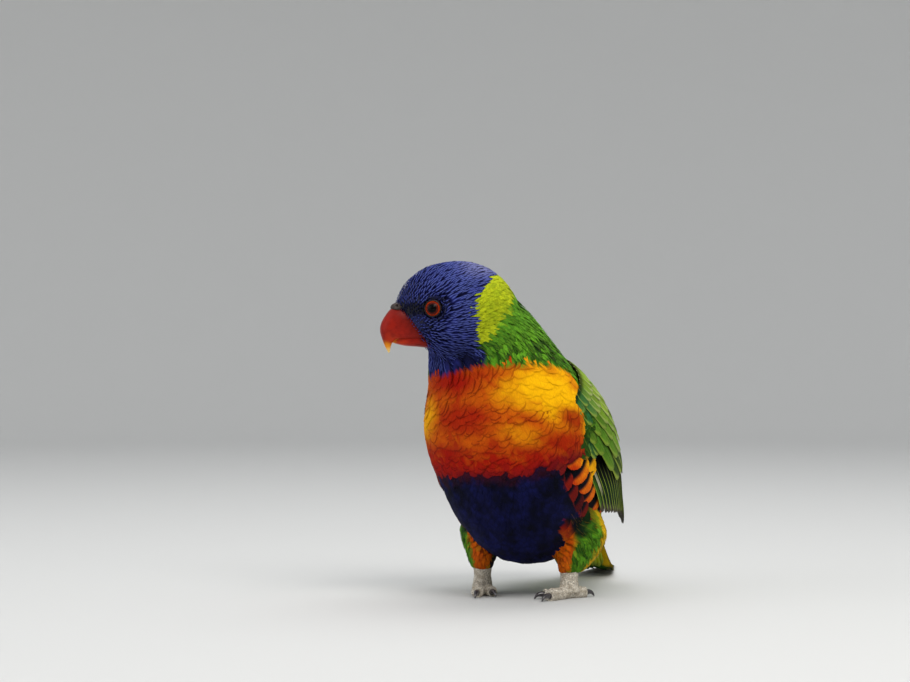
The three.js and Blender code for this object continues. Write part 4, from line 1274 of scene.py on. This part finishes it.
# the surface that the wings lie on, from the shoulder back: x, y, z, half width, height above and below
SHELL = smooth(
    [
        [-2.5, -17, 100, 38.5, 28, 32],
        [-0.8, 2, 83, 42, 34, 44],
        [0, 21, 69, 41, 33, 45],
        [0, 40, 57, 36, 28.5, 40],
        [0, 58, 47.5, 30, 21.5, 30],
        [0, 76, 39.5, 24, 14, 20],
        [0, 95, 31, 17, 7, 10],
    ]
)
INK |= {
    "wing": paint("4d8220"),
    "wing_lime": paint("93b336"),
    "wing_blue": paint("2f6a38"),
    "wing_light": paint("a9c247"),
    "wing_dark": paint("1a3f12"),
    "cream": paint("d6d8ac"),
    # quill is the black of the shafts and the flight feathers' webs, and is also laid on as painted shade at
    # those feathers' roots and over the coverts' inner webs
    "quill": paint("050b04"),
    "worn": paint("6b6252"),
    "tail": paint("2f6a1c"),
    "tail_dark": paint("12300d"),
    "web": paint("e2b80c"),
}
# count, root and tip as [[u, angle], [u, angle]], half widths, lift, roll, colour, and its rim's share
WING_ROWS = [
    (13, [[0.12, 110], [0.3, 80]], [[0.46, 117], [1, 84]], (2.9, 3.6), 0.9, 17, "quill", 1.0),
    (5, [[0.26, 78], [0.3, 50]], [[1, 80], [0.9, 30]], (4.2, 4.8), 1.4, 7, "quill", 0.8),
    (9, [[0.12, 96], [0.1, 50]], [[0.42, 94], [0.84, 16]], (4.6, 5), 1.9, 7, "wing_dark", 0.8),
    (4, [[0.12, 42], [0.1, 16]], [[0.76, 16], [0.66, 5]], (5.6, 5.2), 2.3, 6, "wing", 0.6),
    (5, [[0.03, 110], [0.07, 103]], [[0.13, 113], [0.2, 105]], (2.2, 2.6), 2.4, 7, "wing_blue", 0.7),
    (9, [[0.08, 98], [0.08, 30]], [[0.31, 98], [0.42, 24]], (4.2, 4.6), 2.7, 6, "wing", 0.45),
    (10, [[0.05, 101], [0.05, 32]], [[0.21, 101], [0.3, 28]], (3.8, 4.2), 3.1, 6, "wing", 0.45),
    (11, [[0.02, 102], [0.03, 32]], [[0.15, 103], [0.22, 29]], (3.4, 3.8), 3.4, 5, "wing", 0.45),
    (12, [[0.0, 103], [0.01, 32]], [[0.1, 104], [0.15, 30]], (3.1, 3.4), 3.6, 5, "wing_blue", 0.6),
    (12, [[-0.04, 102], [-0.02, 34]], [[0.05, 103], [0.09, 32]], (3.0, 3.2), 3.7, 4, "wing_blue", 0.6),
]
LONG_ROWS, PALE_FROM = 2, 7  # how many rows are long, and from which one the coverts are palest
STATIONS = np.concatenate([np.linspace(0, 0.78, 11), np.linspace(0.78, 1, 8)[1:]])
STRIPS = np.linspace(-1, 1, 11)
SHOULDER = np.array([0, 55.0, -40.0])  # how the surface runs on ahead of the shoulder


def shell_at(side, u, angle, lift):
    """Points of the wing's surface at u along it and an angle round it, and the ways out of it there."""
    centre, _, left, up, sizes = frames(lambda t: SHELL(1 - t), 1 - np.clip(u, 0, 0.995))
    before = np.minimum(u, 0)[:, None] * SHOULDER
    s, c = np.sin(np.radians(angle))[:, None], np.cos(np.radians(angle))[:, None]
    lift = np.broadcast_to(lift, u.shape)[:, None]
    height = np.where(c > 0, sizes[:, 1:2], sizes[:, 2:3])
    point = centre + before + side * left * s * (sizes[:, :1] + lift) + up * c * (height + lift)
    return point, unit(side * left * s / sizes[:, :1] + up * c / height)


def vane_form(surface, half_width, roll, shaft=0.0):
    """One closed vane: its points, and for each how far along and across it is and which face it is on."""
    point, rise = surface(STATIONS)
    along = unit(np.gradient(point, axis=0))
    sideways = unit(np.cross(rise, along))
    sideways = turned(sideways, along, np.full(len(point), math.radians(roll)))
    rise = unit(np.cross(along, sideways))
    wide = half_width * np.minimum(0.5 + 1.6 * STATIONS, 1)
    wide *= np.sqrt(np.clip(1 - ((STATIONS - TIP_FROM) / (1.02 - TIP_FROM)).clip(0) ** 2, 0.01, 1))
    from_shaft = STRIPS - shaft
    quill = 0.22 * np.exp(-((from_shaft / 0.1) ** 2)) * (1 - STATIONS[:, None])
    crown = 0.12 * half_width * (1 - STRIPS**2) + quill
    middle = point[:, None] + sideways[:, None] * (wide[:, None] * STRIPS)[..., None]
    middle = middle + rise[:, None] * crown[..., None]
    half = THICK / 2 * (1.1 - np.abs(STRIPS))[None, :, None] * rise[:, None]
    points = np.concatenate([(middle + half).reshape(-1, 3), (middle - half).reshape(-1, 3)])
    s = np.repeat(STATIONS, len(STRIPS))
    across = np.tile(from_shaft / (1 - np.sign(from_shaft) * shaft), len(STATIONS))
    return points, np.tile(s, 2), np.tile(across, 2), np.repeat([0.0, 1.0], len(s))


def vane_faces():
    rows, columns = len(STATIONS), len(STRIPS)
    each, last = rows * columns, (rows - 1) * columns
    top = grid_faces(rows, columns, closed=False)
    under = [tuple(i + each for i in reversed(face)) for face in top]
    edge = [(i * columns, (i + 1) * columns) for i in range(rows - 1)]
    edge += [((i + 1) * columns - 1, (i + 2) * columns - 1) for i in range(rows - 1)]
    edge += [(j, j + 1) for j in range(columns - 1)]
    edge += [(last + j, last + j + 1) for j in range(columns - 1)]
    return np.array(top + under + [(a, b, b + each, a + each) for a, b in edge])


VANE_FACES = vane_faces()


def vane_piece(name, vanes, material, replaced):
    """Joins vanes into one piece. Each is its form, tip and rim colours, its shares of rim, shaft and painted
    edge shade, and size. In the bake each has its own cell, with its top in the left half and its underside
    in the right one."""
    forms, tips, rims, shares, sizes = zip(*vanes)
    each = len(forms[0][0])
    points = np.concatenate([form[0] for form in forms])
    faces = np.concatenate([VANE_FACES + each * i for i in range(len(vanes))])
    v = np.concatenate([np.column_stack(form[1:]) for form in forms])
    marks = {
        "vane": v,
        "tip": np.concatenate(tips),
        "rim": np.concatenate([np.tile(rim, (each, 1)) if rim.ndim == 1 else rim for rim in rims]),
        "shaft": np.tile(INK["quill"], (len(points), 1)),
        "shares": np.concatenate(shares),
        "size": np.repeat(sizes, each, axis=0),
    }
    thing = solid_piece(name, points, faces.tolist(), material, marks, replaced)
    cells = math.ceil(math.sqrt(len(vanes)))
    index = np.repeat(np.arange(len(vanes)), each)
    corner = np.empty(len(thing.data.loops), int)
    thing.data.loops.foreach_get("vertex_index", corner)
    u = (index % cells + 0.02 + 0.46 * (v[:, 1] + 1.5) / 3 + 0.5 * v[:, 2]) / cells
    w = (index // cells + 0.03 + 0.94 * v[:, 0]) / cells
    bake = thing.data.uv_layers.new(name="OFBake")
    bake.data.foreach_set("uv", np.column_stack([u, w])[corner].ravel())


def long_colours(number, i, base, along, across):
    """A flight feather's colour and its rim's, and how far the rim is bare. Near its root it keeps its row's
    black, partly its own dark web and partly painted shade under the coverts. The second primary is streaked
    with cream, and the first one's outer web is greener."""
    first_row = number == 0
    # below 0.3 of the length the vane keeps its row's black: its own dark web, and painted shade where the
    # root lies under the coverts
    lush = ease(0.3, 0.5, along) * ease(0.95, 0.75, along)
    tint = blend(INK[base], INK["wing_dark"], lush * ease(0.4, -0.5, across))
    if first_row and i == 0:
        tint = blend(tint, INK["wing"], lush * ease(0.5, -0.3, across))
    tint = blend(tint, INK["worn"], ease(0.74, 0.88, along))
    pale = ease(0.6, 0.45, along) * (first_row and i == 1)
    if first_row and i == 1:
        tint = blend(tint, INK["cream"], ease(0.62, 0.46, along) * ease(-0.1, -0.4, across))
    bare = np.maximum(ease(0.15, 0.42, along), pale)
    return tint, blend(INK["wing_light"], INK["cream"], pale), bare * ease(0.9, 0.74, along)


def covert_colours(number, base, along, across, high, lustre):
    """A covert's colour and its rim's, paler near the back, and darkened over its inner web, the lower edge,
    as painted shade.
    """
    lime = 0.9 if number >= PALE_FROM else 0.6
    tint = blend(INK[base], INK["wing_lime"], np.full(len(along), lime * high))
    light_tint = blend(INK["wing_light"], INK["cream"], np.full(len(along), 0.7 * high))
    tint = blend(tint, INK["wing_light"], 0.3 * lustre * ease(0.4, 1, along))
    # painted shade along the covert's lower, inner web
    return blend(tint, INK["quill"], 0.7 * ease(0.2, 0.9, across)), light_tint


wing_finish = feather_finish("flight_feathers", 0.06, 0.72, 0.6, 0.6, 0.3, 0, 0.03)
for name, side in (("left", 1), ("right", -1)):
    draw = np.random.default_rng(41)
    vanes = []
    for number, (count, root, tip, wide, lift, roll, base, share) in enumerate(WING_ROWS):
        root, tip = np.array(root), np.array(tip)
        is_long = number < LONG_ROWS
        loose, step, shaft = 0.3 if is_long else 1.0, 0.05, 0.1
        if number == 0:
            step, shaft = 0.09, 0.35
        for i in range(count):
            k = i / (count - 1)
            start, end = mix(root[0], root[1], k), mix(tip[0], tip[1], k)
            end = end * [1 + loose * draw.uniform(-0.05, 0.05), 1] + [0, loose * draw.uniform(-1.2, 1.2)]

            def surface(s):
                u, angle = mix(start[0], end[0], s), mix(start[1], end[1], s)
                return shell_at(side, u, angle, lift + step * i - 1.6 * (1 - s) ** 2)

            half_width = mix(*wide, k)
            form = vane_form(surface, half_width, -side * roll, -side * shaft)
            along, across = form[1], form[2] * side
            rim_share = share * ease(0.1, -0.6, across)
            if is_long:
                tint, rim, bare = long_colours(number, i, base, along, across)
                tint, rim_share = tint * draw.uniform(0.66, 1.0) * 0.8, rim_share * bare
            else:
                lustre, high = draw.uniform(0, 1), ease(94, 70, start[1])
                tint, rim = covert_colours(number, base, along, across, high, lustre)
                tint = tint * draw.uniform(0.66, 1.0)
            length = np.linalg.norm(form[0][len(STRIPS) * (len(STATIONS) - 1)] - form[0][0])
            n = len(along)
            # the last share is the painted shade along each vane's edge
            shares = np.column_stack([rim_share, np.full(n, 0.4), np.full(n, 0.3)])
            vanes.append((form, tint, rim, shares, (length, half_width, draw.uniform(0, 90))))
    vane_piece("wing_vanes_" + name, vanes, wing_finish, ["wing_" + name])

# Tail: six pairs of stepped vanes, green above, with yellow inner webs below. Three rows of coverts lie over
# their roots and two under them. It hangs from the rump, and its end lies along the floor.
TAIL_LINE = smooth(
    [
        [0, 60, 44],
        [0, 71, 37],
        [-0.5, 82, 28.5],
        [-1.5, 93, 18.5],
        [-3, 104, 9.6],
        [-5, 118, 3.8],
        [-8, 134, 1.6],
        [-11, 150, 0.2],
        [-14, 166, -1.2],
    ]
)
TAIL_PAIRS = 6
# from the middle pair to the outermost, but for the root and the step between layers
TAIL = {
    "root": 0.1,
    "layer": 0.5,
    "tips": (0.985, 0.6),
    "roots": (1.3, 5.5),
    "fan": (1.0, 8.7),
    "wide": (4.6, 4.9),
}
HIDDEN_WEBS = 4  # how many pairs from the middle hide their yellow webs from above
# count, root and end along the tail's line, spread at both, half width, and lift at both
TAIL_COVERTS = [
    (7, 0.05, 0.42, 6.5, 6.5, 4.2, (2.6, 1.7)),
    (6, 0.0, 0.28, 6.5, 7, 4.4, (4, 2.7)),
    (6, -0.06, 0.16, 6.5, 7, 4.4, (5.2, 4.2)),
    (7, 0.12, 0.52, 6, 5.5, 4.4, (-5.6, -2.8)),
    (6, 0.02, 0.36, 7, 6.5, 4.6, (-8, -5)),
]
UPPER_ROWS = 3
LOWEST = 0.45  # how near the floor a vane's middle comes


def tail_at(t, across, lift):
    """Points at t along the tail, and the ways up from it there."""
    heading = unit(TAIL_LINE(np.minimum(t + 0.01, 1)) - TAIL_LINE(np.maximum(t - 0.01, 0)))
    up = unit(np.cross([1, 0, 0], heading))
    left = np.cross(heading, up)
    return TAIL_LINE(t) + left * across[:, None] + up * lift[:, None], up


def tail_vane(start, end, t0, t1, lift, half_width, roll, shaft):
    def surface(s):
        point, up = tail_at(mix(t0, t1, s), mix(start, end, s), mix(*lift, s))
        point[:, 2] = np.maximum(point[:, 2], LOWEST)
        return point, up

    return vane_form(surface, half_width, roll, shaft)


tail_finish = feather_finish("tail_feathers", 0.06, 0.85, 0.6, 0.6, 0.3, 0, 0.05)
draw = np.random.default_rng(53)
vanes = []
for i in range(TAIL_PAIRS):
    k = i / (TAIL_PAIRS - 1)
    end, half_width = mix(*TAIL["tips"], k), mix(*TAIL["wide"], k)
    top_web = 0.85 if i >= HIDDEN_WEBS else 0.06
    for side in (-1, 1):
        lift = 1.2 - TAIL["layer"] * i + (0.2 if side > 0 else 0)
        apart = side * mix(*TAIL["roots"], k), side * mix(*TAIL["fan"], k)
        form = tail_vane(*apart, TAIL["root"], end, (lift, lift), half_width, side * 2, side * 0.25)
        along, across, below = form[1], form[2] * side, form[3]
        tint = blend(INK["tail"], INK["tail_dark"], ease(0.2, -0.8, across))
        web = ease(0.35, -0.15, across) * mix(top_web, 0.95, below) * ease(0.97, 0.85, along)
        tint = blend(tint, INK["web"], web) * draw.uniform(0.9, 1.1)
        shares = np.tile((0.5, 0.5, 0), (len(along), 1))
        vanes.append((form, tint, INK["tail_dark"], shares, (70, 4.8, draw.uniform(0, 90))))
for row, (count, t0, t1, spread, fan, wide, lifts) in enumerate(TAIL_COVERTS):
    for i in range(count):
        k = 2 * i / (count - 1) - 1
        lift = [h * (1 - 0.3 * k * k) for h in lifts]
        form = tail_vane(k * spread, k * fan, t0, t1 * draw.uniform(0.97, 1.03), lift, wide, 5 * k, 0)
        n = len(form[1])
        if row < UPPER_ROWS:
            tint = blend(INK["wing"], INK["wing_dark"], np.full(n, draw.uniform(0, 0.4)))
        else:
            tint = blend(INK["lime"], INK["wing_dark"], ease(0.8, 1, form[1]))
        shares = np.tile((0.5, 0.3, 0), (n, 1))
        vanes.append((form, tint, INK["wing_light"], shares, (30, wide, draw.uniform(0, 90))))
vane_piece("tail_vanes", vanes, tail_finish, ["tail"])

# Camera and studio: the photograph's own viewpoint, level with the bird's neck and turned to its left, over
# a plain pale floor that curves up behind, with large soft lights.
CAMERA_BACK = 1122.0  # distance from the bird, in millimetres
CAMERA_SIDE = -33.0  # how far to the right it stands
CAMERA_HIGH = 128.0
CAMERA_TURN = math.radians(24)
FOCAL_PIXELS, PHOTO_WIDTH, SENSOR = 2244.0, 910, 36
to_camera = np.array([math.sin(CAMERA_TURN), -math.cos(CAMERA_TURN), 0])
to_right = np.array([math.cos(CAMERA_TURN), math.sin(CAMERA_TURN), 0])
camera_data = bpy.data.cameras.new("camera")
camera_data.lens, camera_data.sensor_width = FOCAL_PIXELS / PHOTO_WIDTH * SENSOR, SENSOR
camera_data.clip_start, camera_data.clip_end = 0.05, 50
camera = add_object("camera", camera_data)
camera.location = to_frame(CAMERA_BACK * to_camera + CAMERA_SIDE * to_right + np.array([0, 0, CAMERA_HIGH]))
camera.rotation_mode = "QUATERNION"
camera.rotation_quaternion = Vector(-to_camera).to_track_quat("-Z", "Y")
bpy.context.scene.camera = camera

FLOOR_FLAT, SWEEP, WALL_TOP, FLOOR_SIDES = 1.7, 0.9, 2.6, 96
floor_material, _, _ = finish_material(
    "studio_floor", Roughness=0.9, Base_Color=(0.6, 0.6, 0.59, 1), Specular_IOR_Level=0.1
)
bend = np.linspace(0, math.pi / 2, 16)[1:]
sweep = [(FLOOR_FLAT + SWEEP * math.sin(k), SWEEP * (1 - math.cos(k))) for k in bend]
outline = [(0.3, 0), (FLOOR_FLAT, 0), *sweep, (FLOOR_FLAT + SWEEP, WALL_TOP)]
around = np.linspace(0, 2 * math.pi, FLOOR_SIDES, endpoint=False)
circle = np.column_stack([np.cos(around), np.sin(around)])
rings = [np.column_stack([r * circle, np.full(FLOOR_SIDES, z)]) for r, z in outline]
faces = [face[::-1] for face in grid_faces(len(outline), FLOOR_SIDES)] + [tuple(range(FLOOR_SIDES))]
floor_mesh = bpy.data.meshes.new("studio_floor")
floor_mesh.from_pydata(np.concatenate(rings).tolist(), [], faces)
floor_mesh.materials.append(floor_material)
floor_mesh.shade_smooth()
floor = add_object("studio_floor", floor_mesh)
floor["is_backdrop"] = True

LIT_PLACE = Vector((0, 0, 0.09))
# name, place, size, power and colour
LIGHTS = [
    ("key_light", (0.62, -0.6, 0.95), 0.6, 8, (1, 0.98, 0.94)),
    ("fill_light", (-0.8, -0.9, 0.45), 1.0, 4.5, (0.95, 0.97, 1)),
    ("top_light", (0.0, 0.3, 1.2), 0.9, 5, (1, 1, 1)),
]
for name, place, size, power, colour in LIGHTS:
    lamp = bpy.data.lights.new(name, "AREA")
    lamp.size, lamp.energy, lamp.color = size, power, colour
    thing = add_object(name, lamp)
    thing.location = place
    thing.rotation_mode = "QUATERNION"
    thing.rotation_quaternion = (LIT_PLACE - Vector(place)).to_track_quat("-Z", "Y")
world = bpy.data.worlds.new("studio")
bpy.context.scene.world = world
world.use_nodes = True
world.node_tree.nodes["Background"].inputs[0].default_value = (0.9, 0.92, 0.95, 1)
world.node_tree.nodes["Background"].inputs[1].default_value = 1.0
bpy.context.scene.view_settings.view_transform = "Standard"

low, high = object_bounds()
{"cad": [list(v) for v in cad_box], "visual": [list(low), list(high)]}
